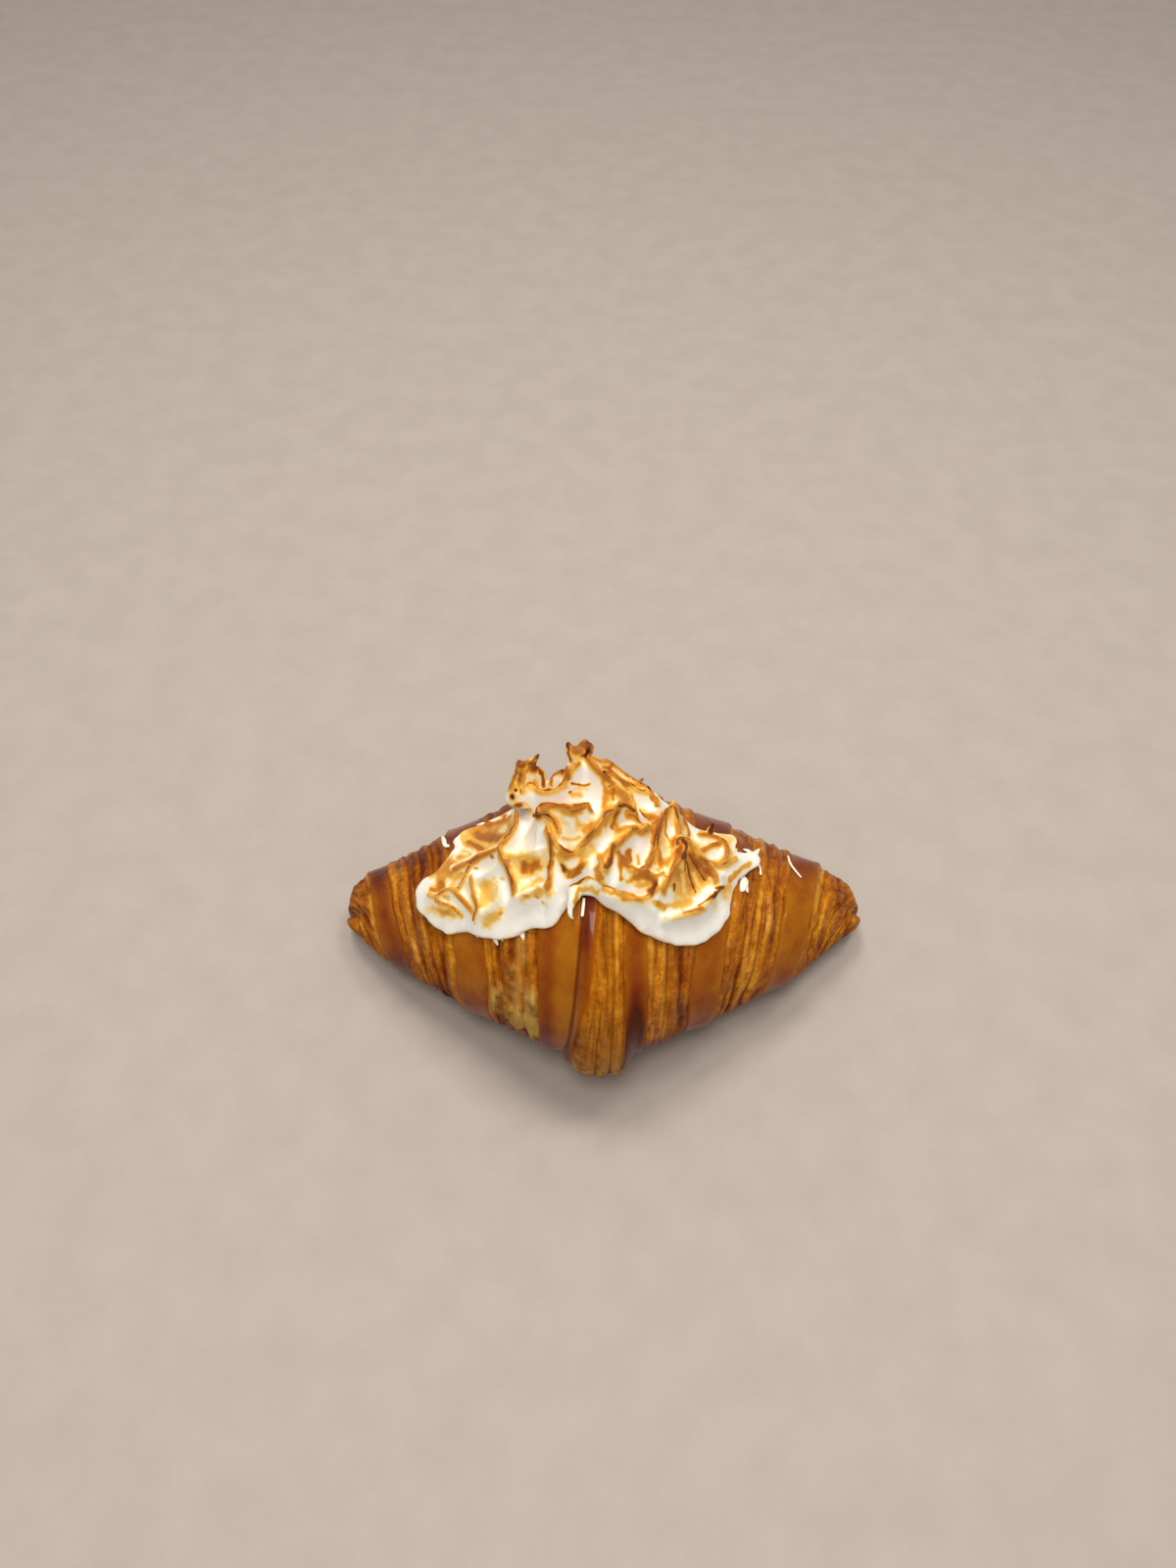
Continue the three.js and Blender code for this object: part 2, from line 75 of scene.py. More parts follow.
class Finish:
    """A number or colour that varies over a material. Arithmetic on numbers adds Math nodes."""

    def __init__(self, tree, socket=None):
        self.tree = tree
        self.socket = socket

    def node(self, kind, settings, sockets, output=0):
        made = self.tree.nodes.new(kind)
        for name, value in settings.items():
            setattr(made, name, value)
        for name, value in sockets.items():
            if isinstance(value, Finish):
                self.tree.links.new(value.socket, made.inputs[name])
            else:
                made.inputs[name].default_value = value
        return Finish(self.tree, made.outputs[output])

    def maths(self, operation, first, second, clamp=False):
        settings = {"operation": operation, "use_clamp": clamp}
        return self.node("ShaderNodeMath", settings, {0: first, 1: second})

    def __add__(self, other):
        return self.maths("ADD", self, other)

    def __sub__(self, other):
        return self.maths("SUBTRACT", self, other)

    def __rsub__(self, other):
        return self.maths("SUBTRACT", other, self)

    def __mul__(self, other):
        return self.maths("MULTIPLY", self, other)

    __radd__ = __add__

    def clamped(self):
        return self.maths("ADD", self, 0.0, clamp=True)

    def step(self, low, high):
        """0 below low and 1 above high, with a smooth change between; the other way round if low > high."""
        if low > high:
            return 1 - self.step(high, low)
        sockets = {"Value": self, "From Min": low, "From Max": high}
        return self.node("ShaderNodeMapRange", {"interpolation_type": "SMOOTHSTEP"}, sockets)

    def mix(self, first, second):
        """The first colour where this number is 0, the second where it is 1."""
        sockets = {"Factor": self.clamped(), 6: first, 7: second}
        return self.node("ShaderNodeMix", {"data_type": "RGBA"}, sockets, output=2)

    def ramp(self, stops):
        """The colour at this number on a ramp of stops: each its place, then its red, green and blue."""
        made = self.node("ShaderNodeValToRGB", {}, {0: self})
        elements = made.socket.node.color_ramp.elements
        while len(elements) < len(stops):
            elements.new(1)
        for stop, (place, *colour) in zip(elements, stops):
            stop.position = place
            stop.color = paint(*colour)
        return made

    def places(self):
        """Places in space, in metres from the piece's own origin."""
        return self.node("ShaderNodeTexCoord", {}, {}, output=3)

    def named(self, attribute, output=2):
        return self.node("ShaderNodeAttribute", {"attribute_name": attribute}, {}, output)

    def scaled(self, vector, scale):
        sockets = {"Vector": vector, "Scale": scale}
        return self.node("ShaderNodeMapping", {"vector_type": "POINT"}, sockets)

    def noise(self, vector, scale, detail=3.0, roughness=0.55):
        sockets = {"Vector": vector, "Scale": scale, "Detail": detail, "Roughness": roughness}
        return self.node("ShaderNodeTexNoise", {}, sockets)

    def cells(self, vector, scale):
        return self.node("ShaderNodeTexVoronoi", {"feature": "F1"}, {"Vector": vector, "Scale": scale})

    def bump(self, height, strength, distance, below=None):
        sockets = {"Height": height, "Strength": strength, "Distance": distance}
        if below:
            sockets["Normal"] = below
        return self.node("ShaderNodeBump", {}, sockets)


def new_material(name, constants):
    """A Principled material with its constant sockets set, and the Finish that adds to its nodes."""
    material = bpy.data.materials.new(name)
    material.use_nodes = True
    shader = material.node_tree.nodes["Principled BSDF"]
    for socket, value in constants.items():
        shader.inputs[socket].default_value = value
    return material, shader, Finish(material.node_tree)


def feed(finish, shader, values):
    for socket, value in values.items():
        finish.tree.links.new(value.socket, shader.inputs[socket])


select_only()
bpy.ops.mesh.primitive_plane_add(size=FLOOR_SIZE, location=(0, 0, -FLOOR_DROP * MM))
floor = bpy.context.object
floor.name = "floor"
floor_material, floor_shader, floor_finish = new_material("pale_floor", {"Roughness": 0.75})
floor_tone = floor_finish.noise(floor_finish.places(), FLOOR_GRAIN).step(0.3, 0.7)
feed(floor_finish, floor_shader, {"Base Color": floor_tone.mix(paint(*FLOOR_DULL), paint(*FLOOR_PALE))})
floor.data.materials.append(floor_material)

world = bpy.data.worlds.new("room")
bpy.context.scene.world = world
world.use_nodes = True
world.node_tree.nodes["Background"].inputs["Color"].default_value = ROOM_COLOUR
world.node_tree.nodes["Background"].inputs["Strength"].default_value = ROOM_STRENGTH

for place, target, side, power in LAMPS:
    select_only()
    bpy.ops.object.light_add(type="AREA", location=place)
    lamp = bpy.context.object
    lamp.data.size = side
    lamp.data.energy = power
    lamp.data.color = LAMP_COLOUR
    aim = np.array(target) - np.array(place)
    lamp.rotation_euler = (np.arctan2(np.hypot(aim[0], aim[1]), -aim[2]), 0, np.arctan2(-aim[0], aim[1]))

select_only()
bpy.ops.object.camera_add(location=[c * MM for c in EYE], rotation=(radians(90 - LOOKS_DOWN), 0, 0))
camera = bpy.context.object
camera.data.lens = LENS
camera.data.sensor_width = SENSOR
bpy.context.scene.camera = camera
bpy.context.scene.view_settings.view_transform = "Standard"

# ---- The croissant ----
# Butter dough folded in thin layers, cut to a long triangle, rolled up from its wide side, egg-washed and
# baked dark. Each turn shows a smooth glazed panel that ends in a raised lip. Past the lip the cut layers
# have opened into ridges. The triangle's point lies down the middle of the front.
WAIST_X = -5.5
LEFT_REACH, RIGHT_REACH = 83.0, 94.0
HALF_DEPTH, HALF_HEIGHT = 48.5, 39.5
BASE_CUT = 3.0
LEFT_TIP, RIGHT_TIP = WAIST_X - LEFT_REACH, WAIST_X + RIGHT_REACH
# Places along the roll are shares of the way from the waist to the tip, where they aren't millimetres.
CAP_SHARE = 0.95
WAIST_ROUND = 0.05
TAPER, TAPER_ONSET, TAPER_CURVE, TIP_TALLER = 0.9, 1.03, 0.9, 0.1
TIP_LIFT, TIP_LIFT_START, TIP_BACK, TIP_BACK_CURVE = 5.0, 0.3, 15.0, 1.5
LEFT_TUCK, LEFT_TUCK_SHARE = 2.5, 0.08
TIP_TUCK, TIP_TUCK_START, TIP_TUCK_SHARE = 4.0, 0.68, 0.25
TUCK_LOWERS, TUCK_SETS_BACK, TUCK_RAISES, TUCK_NARROWS = 0.4, 0.4, 0.6, 0.5  # shares of the tuck
CREASE_X, CREASE_LEAN, CREASE_WIDTH = -7.6, 0.065, 6.0
CREASE_CUT, CREASE_HALF_WIDTH = 0.9, 0.55
SIGHT_ANGLE = 50.0  # where the turns and the crease lie at the places that are given for them
LEAN_RATE, LEAN_START, LEAN_FULL, LEAN_ENDS = 0.08, 8.0, 60.0, 0.78

# Each turn: where its smooth panel starts and where its lip is, outwards from the crease.
LEFT_TURNS = [(0, 11.8), (29.4, 38.4), (58.5, 65.4)]
RIGHT_TURNS = [(0, 4.1), (13.5, 19.2), (34.2, 43.4), (63, 72.1)]
PANEL_DIP, PANEL_CURVE, LIP_RISE, FULL_PANEL = -0.3, 1.4, 0.9, 8.0
LAYER_DIP, LAYER_RISE, LAYER_PITCH = -0.4, 0.34, 4.2
COARSE_THREADS, FINE_THREADS, RIDGE_THREADS = 0.46, 0.20, 0.16
STEP_WIDTH, LAYERS_END = 0.7, 0.8
# The triangle's point is tucked under the front. It makes the roll wider there, more so off the crease.
TAIL_RISE, TAIL_SPLAY, TAIL_END, TAIL_ANGLE, TAIL_SPREAD = 2.4, 0.22, 18.0, -22.0, 26.0
WEDGE_FOOT, WEDGE_TOP = 0.12, 62.0  # the panel beside the crease narrows to this share below this angle

# Random unevenness: how far it goes, how many millimetres or degrees a swell takes each way, and its seed.
LIP_WANDER = (0.55, 34, 16, 1), (0.22, 11, 5, 2)
RIDGE_WANDER = (2.6, 26, 6, 12)
GROOVE_WANDER, GROOVE_FADE = (0.5, 22, 1, 7), (0.25, 18, 1, 8)
GAP_FADE = (0.5, 16, 5, 16)
TAIL_UNEVEN = (0.12, 1.6, 60, 13)
BLISTER_RAGGED, BLISTER_UNEVEN = (0.35, 1.8, 4, 15), (0.3, 2.2, 5, 14)
LAYERS_UNEVEN, SKIN_UNEVEN, ROLL_UNEVEN = (0.30, 2.6, 7, 9), (0.05, 1.7, 5, 10), (0.35, 15, 30, 11)

# Deep grooves between the open layers: place (left of the crease is negative), half width and depth.
GROOVES = [
    (-15.9, 0.40, 0.9), (-24.4, 0.50, 1.1), (-26.4, 0.30, 0.7), (-43.9, 0.70, 0.9), (-47.2, 0.35, 0.7),
    (-49.4, 0.30, 0.6), (-51.7, 0.60, 1.0), (6.2, 0.35, 0.6), (9.4, 0.40, 0.7), (12.6, 0.45, 0.9),
    (25.6, 0.45, 1.1), (30.1, 0.35, 0.5), (50.0, 0.70, 1.5), (55.0, 0.50, 0.9), (58.6, 0.40, 0.7),
    (75.4, 0.45, 0.8), (80.5, 0.50, 0.9), (86.0, 0.50, 0.8), (-68.5, 0.45, 0.8), (-72.5, 0.45, 0.8),
]
# What is not cut of a groove's depth is painted on as shade.
GROOVE_SHARE = 0.75  # how much of its depth is cut into the crust; its colour does the rest
# Blisters of pale dough where a turn has torn open: x, angle, length, spread, rise and paleness.
BLISTERS = [
    (-32.6, 15, 4.4, 15, 1.7, 1.1), (-27.0, 9, 3.4, 16, 2.0, 1.1), (-22.0, 11, 3.2, 26, 1.7, 1.1),
    (-27.0, 30, 3.0, 12, 0.8, 0.5), (-24.0, 52, 2.6, 18, 0.6, 0.35), (-57.5, 42, 3.2, 18, 1.0, 0.25),
    (-55.0, 66, 3.6, 14, 0.9, 0.2), (-61.0, 26, 3.0, 12, 0.8, 0.15), (26.5, 55, 3.2, 16, 0.8, 0.1),
    (22.0, 20, 3.0, 14, 0.9, 0.1), (50.5, 60, 3.0, 14, 0.8, 0.1),
]
# The folds that each tip ends in meet in notches at these angles: angle, half width, depth.
TIP_FOLDS = [(38, 8, 1.2), (88, 8, 0.7), (140, 9, 0.8), (-25, 7, 0.6)]
FOLD_SWEEP = 25.0  # how many degrees the folds turn along the roll
# Each tip: how far its pole is pressed in, and its outline as angle, half width and how far it is set back.
LEFT_END = (1.2, [(46, 20, 3.2), (100, 36, 1.0), (-40, 30, 2.6), (200, 60, 1.5)])
RIGHT_END = (1.4, [(52, 16, 2.4), (110, 40, 1.4), (-45, 30, 2.2), (200, 60, 1.5)])
FAN_SLANT, FAN_ANGLE, FAN_START = 0.19, 35.0, 0.80  # the folds of a tip slant and meet towards its end
ROLL_SIDES, ROLL_RINGS = 222, 446
TIP_EASE = 0.04  # the share of the rings at each tip whose steps are shortened
TOP_CROWDING = 0.25  # how much closer together the sides are over the top, and wider apart underneath


def smooth(x):
    x = np.clip(x, 0, 1)
    return x * x * (3 - 2 * x)


def bell(distance, width):
    return np.exp(-((distance / width) ** 2))


def ripple(u, v, seed):
    """Smooth random heights from -1 to 1 over a plane, about one swell to each unit."""
    heights = np.random.default_rng(seed).uniform(-1, 1, (96, 96))
    u0, v0 = np.floor(u).astype(int), np.floor(v).astype(int)
    across, up = smooth(u - u0), smooth(v - v0)

    def corner(i, j):
        return heights[(u0 + i) % 96, (v0 + j) % 96]

    low = corner(0, 0) * (1 - across) + corner(1, 0) * across
    high = corner(0, 1) * (1 - across) + corner(1, 1) * across
    return low * (1 - up) + high * up


def uneven(u, v, kind):
    """Random swells of one kind: how far they go, how long they are along u and v, and their seed."""
    height, u_length, v_length, seed = kind
    return height * ripple(u / u_length, v / v_length, seed)


def reach_share(x):
    out = x - WAIST_X
    return np.clip(np.where(out < 0, -out / LEFT_REACH, out / RIGHT_REACH), 0, 1)


def cap_round(share):
    """How wide the roll still is where a tip closes: 1 up to the cap, 0 at its pole."""
    return np.sqrt(1 - np.clip((share - CAP_SHARE) / (1 - CAP_SHARE), 0, 1) ** 2)


def section(x):
    """The ellipse of the roll at x: its middle y and z, its half depth and its half height."""
    share = reach_share(x)
    round_waist = np.hypot(share, WAIST_ROUND) - WAIST_ROUND
    cap = cap_round(share)
    size = (1 - TAPER * round_waist**TAPER_ONSET) ** TAPER_CURVE
    left_tuck = np.where(x < WAIST_X, LEFT_TUCK * smooth(share / LEFT_TUCK_SHARE), 0)
    tuck = np.maximum(left_tuck, TIP_TUCK * smooth((share - TIP_TUCK_START) / TIP_TUCK_SHARE))
    half_height = (HALF_HEIGHT * size * (1 + TIP_TALLER * smooth(share)) - TUCK_LOWERS * tuck) * cap
    lifted = TIP_LIFT * smooth((share - TIP_LIFT_START) / (1 - TIP_LIFT_START))
    y = TIP_BACK * share**TIP_BACK_CURVE + TUCK_SETS_BACK * tuck
    z = half_height - BASE_CUT + lifted + TUCK_RAISES * tuck
    return y, z, (HALF_DEPTH * size - TUCK_NARROWS * tuck) * cap, half_height


def lean(x, angle):
    """How far a turn has moved out at an angle, as the roll is wound on a slant, and the crease with it."""
    out = x - WAIST_X
    wound = smooth((np.abs(out) - LEAN_START) / (LEAN_FULL - LEAN_START))
    tip_fade = 1 - smooth((reach_share(x) - LEAN_ENDS) / 0.2)
    slant = np.sign(out) * LEAN_RATE * wound * tip_fade * (np.clip(angle, -60, 160) - SIGHT_ANGLE)
    return slant + bell(x - CREASE_X, CREASE_WIDTH) * CREASE_LEAN * (np.clip(angle, -30, 90) - SIGHT_ANGLE)


def turn_at(x, wander):
    """The distance out from the crease, with the panel, lip and next panel of the turn that it is in."""
    left = x < CREASE_X
    out = np.abs(x - CREASE_X)
    moved = out + wander * smooth(out / 3)
    found = []
    for turns, tip in ((LEFT_TURNS, LEFT_TIP), (RIGHT_TURNS, RIGHT_TIP)):
        starts = np.array([start for start, lip in turns])
        lips = np.array([lip for start, lip in turns])
        ends = np.append(starts[1:], abs(tip - CREASE_X))
        which = np.clip(np.searchsorted(starts, moved, side="right") - 1, 0, None)
        found.append((starts[which], lips[which], ends[which]))
    return moved, *[np.where(left, a, b) for a, b in zip(*found)]


def crust(x, angle):
    """The height of the crust over the plain ellipse, and what its finish needs to know at each point."""
    share = reach_share(x)
    side = np.where(x < CREASE_X, -1, 1)
    wander = uneven(angle, x, LIP_WANDER[0]) + uneven(angle, x, LIP_WANDER[1])
    out, start, lip, end = turn_at(x, wander)
    signed = side * out
    wedge = (side > 0) & (start == 0)
    lip = np.where(wedge, lip * (WEDGE_FOOT + (1 - WEDGE_FOOT) * smooth(angle / WEDGE_TOP)), lip)
    lip_rise = LIP_RISE * np.minimum(1, (lip - start) / FULL_PANEL)
    up_panel = np.clip((out - start) / (lip - start), 0, 1) ** PANEL_CURVE
    on_panel = PANEL_DIP + (lip_rise - PANEL_DIP) * up_panel
    ridges = np.maximum(np.round((end - lip) / LAYER_PITCH), 1)
    fan = smooth((share - FAN_START) / 0.12) * FAN_SLANT * (np.clip(angle, -40, 130) - FAN_ANGLE)
    phase = 2 * pi * ridges * (out - fan - lip) / (end - lip)
    ridge = -np.cos(phase + uneven(angle, out, RIDGE_WANDER))
    layers = LAYER_DIP + LAYER_RISE * ridge
    past_lip = smooth((out - lip) / STEP_WIDTH)
    open_layers = np.where(out > lip, past_lip * smooth((end - out) / LAYERS_END), 0)
    rise = np.where(out <= lip, on_panel, layers + (lip_rise - layers) * (1 - past_lip))

    # The cut edges of the layers are threads along the turn, with gaps between them darkened by painted
    # shade.
    other_side = side * 40
    coarse = np.abs(ripple((out - fan) / 1.3 + other_side, angle / 26, 5))
    fine = np.abs(ripple((out - fan) / 0.7 + other_side, angle / 13, 6))
    threads = COARSE_THREADS * (coarse**0.6 - 0.6) + FINE_THREADS * (fine**0.6 - 0.6)
    rise += open_layers * threads
    threads = threads + RIDGE_THREADS * ridge * open_layers
    seam_shade = open_layers * np.maximum(0.7 - coarse / 0.16, 0.4 - fine / 0.3).clip(0, 1)
    gap = open_layers * smooth((-ridge - 0.55) / 0.5) * (0.5 + uneven(angle, out, GAP_FADE))
    seam_shade = np.maximum(seam_shade, gap)
    # Each groove is partly cut in and partly darkened with painted shade.
    for place, width, depth in GROOVES:
        steady = signed * 0 + place
        there = bell(signed - side * fan - place - uneven(angle, steady, GROOVE_WANDER), width)
        there = there * (0.75 + uneven(angle, steady, GROOVE_FADE))
        rise -= GROOVE_SHARE * depth * there
        seam_shade = np.maximum(seam_shade, there)
    # The crease is cut in a little and darkened with painted shade.
    crease = bell(x - CREASE_X, CREASE_HALF_WIDTH) * smooth((angle + 40) / 30)
    rise -= CREASE_CUT * crease
    seam_shade = np.maximum(seam_shade, crease)

    tail = smooth((TAIL_END - out) / 6) * bell(angle - TAIL_ANGLE, TAIL_SPREAD) * (side > 0)
    rise += tail * (TAIL_RISE + TAIL_SPLAY * out) * (1 + uneven(out, angle, TAIL_UNEVEN))
    pale = np.zeros_like(x)
    ragged = uneven(x, angle, BLISTER_RAGGED)
    # Round each blister's border the crust is darkened with painted shade, and the seams on it fade.
    for bx, b_angle, length, spread, height, paleness in BLISTERS:
        there = smooth((bell(x - bx, length) * bell(angle - b_angle, spread) - 0.34 + 0.3 * ragged) / 0.45)
        there = there * open_layers
        seam_shade = np.maximum(seam_shade * (1 - 0.8 * there * paleness), 0.9 * paleness * there * (1 - there))
        rise += height * there * (1 + uneven(x, angle, BLISTER_UNEVEN))
        pale = np.maximum(pale, paleness * there)
    rise += uneven(x, angle, LAYERS_UNEVEN) * open_layers + uneven(x, angle, SKIN_UNEVEN)
    rise += uneven(x, angle, ROLL_UNEVEN)

    # The notches between a tip's folds are darkened with painted shade.
    for fold_angle, width, depth in TIP_FOLDS:
        there = bell(angle - fold_angle - FOLD_SWEEP * (1 - share), width) * smooth((share - 0.84) / 0.1)
        rise -= depth * there
        seam_shade = np.maximum(seam_shade, 0.4 * there)
    # Nothing stands out underneath, where the roll is pressed flat, and less does at the tips.
    pressed = smooth((np.abs(angle - 270) - 12) / 30) * smooth((angle + 90 - 12) / 30)
    shrink = 1 - 0.5 * smooth((share - 0.8) / 0.2)
    pale = np.maximum(pale, 0.5 * tail * open_layers)
    looks = {"signed": signed, "panel": 1 - open_layers, "seam_shade": seam_shade, "pale": pale, "threads": threads}
    return rise * pressed * shrink, looks


def tip_fold(x, angle):
    """How far the folds of a tip are set back from its plain rounded end."""
    share = reach_share(x)
    near_end = smooth((share - 0.88) / 0.08)
    off_pole = cap_round(share)
    back = []
    for pressed_in, folds in (LEFT_END, RIGHT_END):
        outline = sum(depth * bell(angle - fold_angle, width) for fold_angle, width, depth in folds)
        back.append(near_end * (pressed_in + (outline - pressed_in) * smooth(off_pole * 1.3)))
    return np.where(x < WAIST_X, back[0], -back[1])


def crust_point(x, angle):
    """The place on the crust, and what its finish needs there."""
    along = x + lean(x, angle)
    y, z, half_depth, half_height = section(along)
    rise, looks = crust(x, angle)
    out = rise * np.minimum(1, half_depth / 6)
    turn = np.radians(angle)
    place = [
        along + tip_fold(along, angle),
        y - (half_depth + out) * np.cos(turn),
        z + (half_height + out) * np.sin(turn),
    ]
    return np.stack(place, axis=1), looks


def get_points(piece, kind="co"):
    """The places of the piece's vertices, or their directions outwards if the kind is normal."""
    points = np.empty(len(piece.data.vertices) * 3)
    piece.data.vertices.foreach_get(kind, points)
    return points.reshape(-1, 3)


def set_points(piece, points):
    piece.data.vertices.foreach_set("co", np.ascontiguousarray(points).ravel())
    piece.data.update()


def give_attribute(piece, name, values, kind="FLOAT"):
    made = piece.data.attributes.new(name, kind, "POINT")
    field = "vector" if kind == "FLOAT_VECTOR" else "value"
    made.data.foreach_set(field, np.ascontiguousarray(values, dtype=np.float32).ravel())


def new_ball(sides, rings):
    """A ball, with each vertex's share of the way from its lower pole to its upper, and its angle round."""
    select_only()
    bpy.ops.mesh.primitive_uv_sphere_add(segments=sides, ring_count=rings, radius=1)
    piece = bpy.context.object
    points = get_points(piece)
    return piece, np.arccos(np.clip(-points[:, 2], -1, 1)) / pi, np.arctan2(points[:, 1], points[:, 0])


def turn_faces_out(piece):
    select_only(piece)
    bpy.ops.object.mode_set(mode="EDIT")
    bpy.ops.mesh.select_all(action="SELECT")
    bpy.ops.mesh.normals_make_consistent(inside=False)
    bpy.ops.object.mode_set(mode="OBJECT")


croissant, way, round_ball = new_ball(ROLL_SIDES, ROLL_RINGS)
croissant.name = "rolled_crust"
# From pole to pole of the ball is from tip to tip, in even steps but for short ones where a tip closes.
eased = np.where(way < TIP_EASE, way**2 / (2 * TIP_EASE), way - TIP_EASE / 2)
eased = np.where(way > 1 - TIP_EASE, 1 - TIP_EASE - (1 - way) ** 2 / (2 * TIP_EASE), eased) / (1 - TIP_EASE)
roll_x = LEFT_TIP + (RIGHT_TIP - LEFT_TIP) * eased
# Round the ball is round the roll, from underneath, with the sides closer together over the top.
round_ball = (round_ball / (2 * pi)) % 1
roll_angle = -90 + 360 * (round_ball + TOP_CROWDING / (2 * pi) * np.sin(2 * pi * round_ball))
crust_places, crust_looks = crust_point(roll_x, roll_angle)
crust_places[:, 2] = np.maximum(crust_places[:, 2], 0)
set_points(croissant, crust_places * MM)
turn_faces_out(croissant)
bpy.ops.object.shade_smooth()

# How the oven and the egg wash coloured the crust, by distance from the crease: place, half width, amount.
BAKED_DARK = [
    (-9.4, 3.2, 0.5), (16.3, 3.6, 0.42), (38.8, 5.0, 0.30), (67.5, 5.0, 0.22), (-34.0, 4.8, 0.10),
    (-62.0, 4.0, 0.5), (-45.0, 5.0, 0.45), (31.0, 2.5, 0.25), (-22.0, 7.0, 0.55),
]
BAKED_LIGHT = [
    (-28.2, 1.3, 0.45), (-19.0, 1.2, 0.3), (-13.4, 1.3, 0.4), (-40.0, 1.5, 0.6), (-64.2, 1.3, 0.6),
    (20.1, 1.0, 0.9), (23.0, 2.0, 0.45), (44.5, 1.1, 0.7), (47.5, 1.9, 0.3), (52.3, 1.8, 0.5),
    (-66.9, 1.1, 1.1), (73.6, 2.0, 0.8), (77.0, 1.4, 0.6), (8.0, 4.5, 0.72), (28.0, 4.0, 0.35),
    (57.0, 8.0, 0.25), (84.0, 2.0, 0.4), (95.0, 6.0, 0.3), (-54.0, 3.5, 0.3),
]
# Stretches darker still, all baked but the last, painted shade: distance from the crease, angle, half
# width, spread, amount.
BAKED_AND_SHADED_SPOTS = [
    (1.8, 75, 2.2, 42, 1.0), (16.3, 12, 3.4, 20, 0.95), (-36.0, 4, 3.0, 12, 0.3), (-57.0, 12, 4.0, 20, 0.4),
    (86.5, 88, 3.0, 12, 1.1), (84.0, 62, 2.5, 8, 0.6), (29.0, 40, 3.5, 40, 0.25), (50.0, 70, 2.5, 30, 0.5),
    # painted shade low on the tail, under the front
    (9.0, -4, 7.0, 16, 0.4),
]
# Stretches where the glaze dried in bubbles: distance from the crease, half width, amount.
BUBBLY = [
    (23.2, 2.2, 0.7), (29.5, 4.0, 0.6), (47.5, 3.0, 0.8), (52.5, 3.0, 1.0), (58.0, 4.0, 0.7),
    (40.0, 5.0, 0.25), (-55.0, 4.0, 0.7), (86.0, 3.0, 0.6),
]
# The low front is darkened with painted shade, the back was baked darker, and the sum stops at MOST_DARK.
LOW_FRONT_SHADE, BACK_DARK, MOST_DARK = 0.45, 0.45, 1.2
WINDING_MM = 0.75  # millimetres round the roll for each degree, near the waist

# The patterns of the crust. The first three run along the layers: swells to a millimetre out and round.
BANDS, STREAKS, FIBRES = (0.33, 0.016, 1.0), (0.55, 0.13, 1.0), (1.7, 0.34, 1.0)
MOTTLE, FLECKS, SPECKS, BUBBLES = 110.0, 330.0, 900.0, 620.0  # swells to a metre
# The colours of the glazed panels, from lightly to darkly baked, and of the open layers, the other way.
GLAZE_COLOURS = [(0.0, 160, 96, 10), (0.35, 140, 70, 2), (0.7, 110, 41, 2), (1.0, 76, 23, 1)]
LAYER_COLOURS = [(0.08, 96, 38, 1), (0.34, 144, 75, 5), (0.60, 178, 106, 11), (0.92, 208, 148, 44)]
LAYER_TONE = 0.475
# Dull and pale dough for the blisters, the seam brown, and a painted reflection of the floor for the crust
# near it.
DULL_DOUGH, PALE_DOUGH, SEAM_SHADE_BROWN, FLOOR_SHEEN = (130, 84, 26), (178, 140, 70), (78, 26, 3), (142, 88, 46)


def summed(stretches):
    return sum(amount * bell(signed - place, width) for place, width, amount in stretches)


signed = crust_looks["signed"]
# Painted shade darkens the crust low at the front, and is added to its baked darkness.
shaded_low_front = smooth((28 - roll_angle) / 50)
over_back = smooth((roll_angle - 75) / 45)
dark = summed(BAKED_DARK) + LOW_FRONT_SHADE * shaded_low_front + BACK_DARK * over_back
for place, spot_angle, half_width, spread, amount in BAKED_AND_SHADED_SPOTS:
    dark += amount * bell(signed - place, half_width) * bell(roll_angle - spot_angle, spread)
give_attribute(croissant, "dark", np.clip(dark, 0, MOST_DARK))
give_attribute(croissant, "light", summed(BAKED_LIGHT))
give_attribute(croissant, "bubbly", summed(BUBBLY) * smooth((roll_angle + 5) / 30))
for look in ("panel", "seam_shade", "pale", "threads"):
    give_attribute(croissant, look, crust_looks[look])
winding = np.stack([signed, roll_angle * WINDING_MM, 0 * signed], axis=1)
give_attribute(croissant, "winding", winding, "FLOAT_VECTOR")

crust_material, crust_shader, crust_finish = new_material(
    "egg_washed_crust",
    {"Coat Roughness": 0.09, "Coat IOR": 1.24, "Specular IOR Level": 0.05},
)


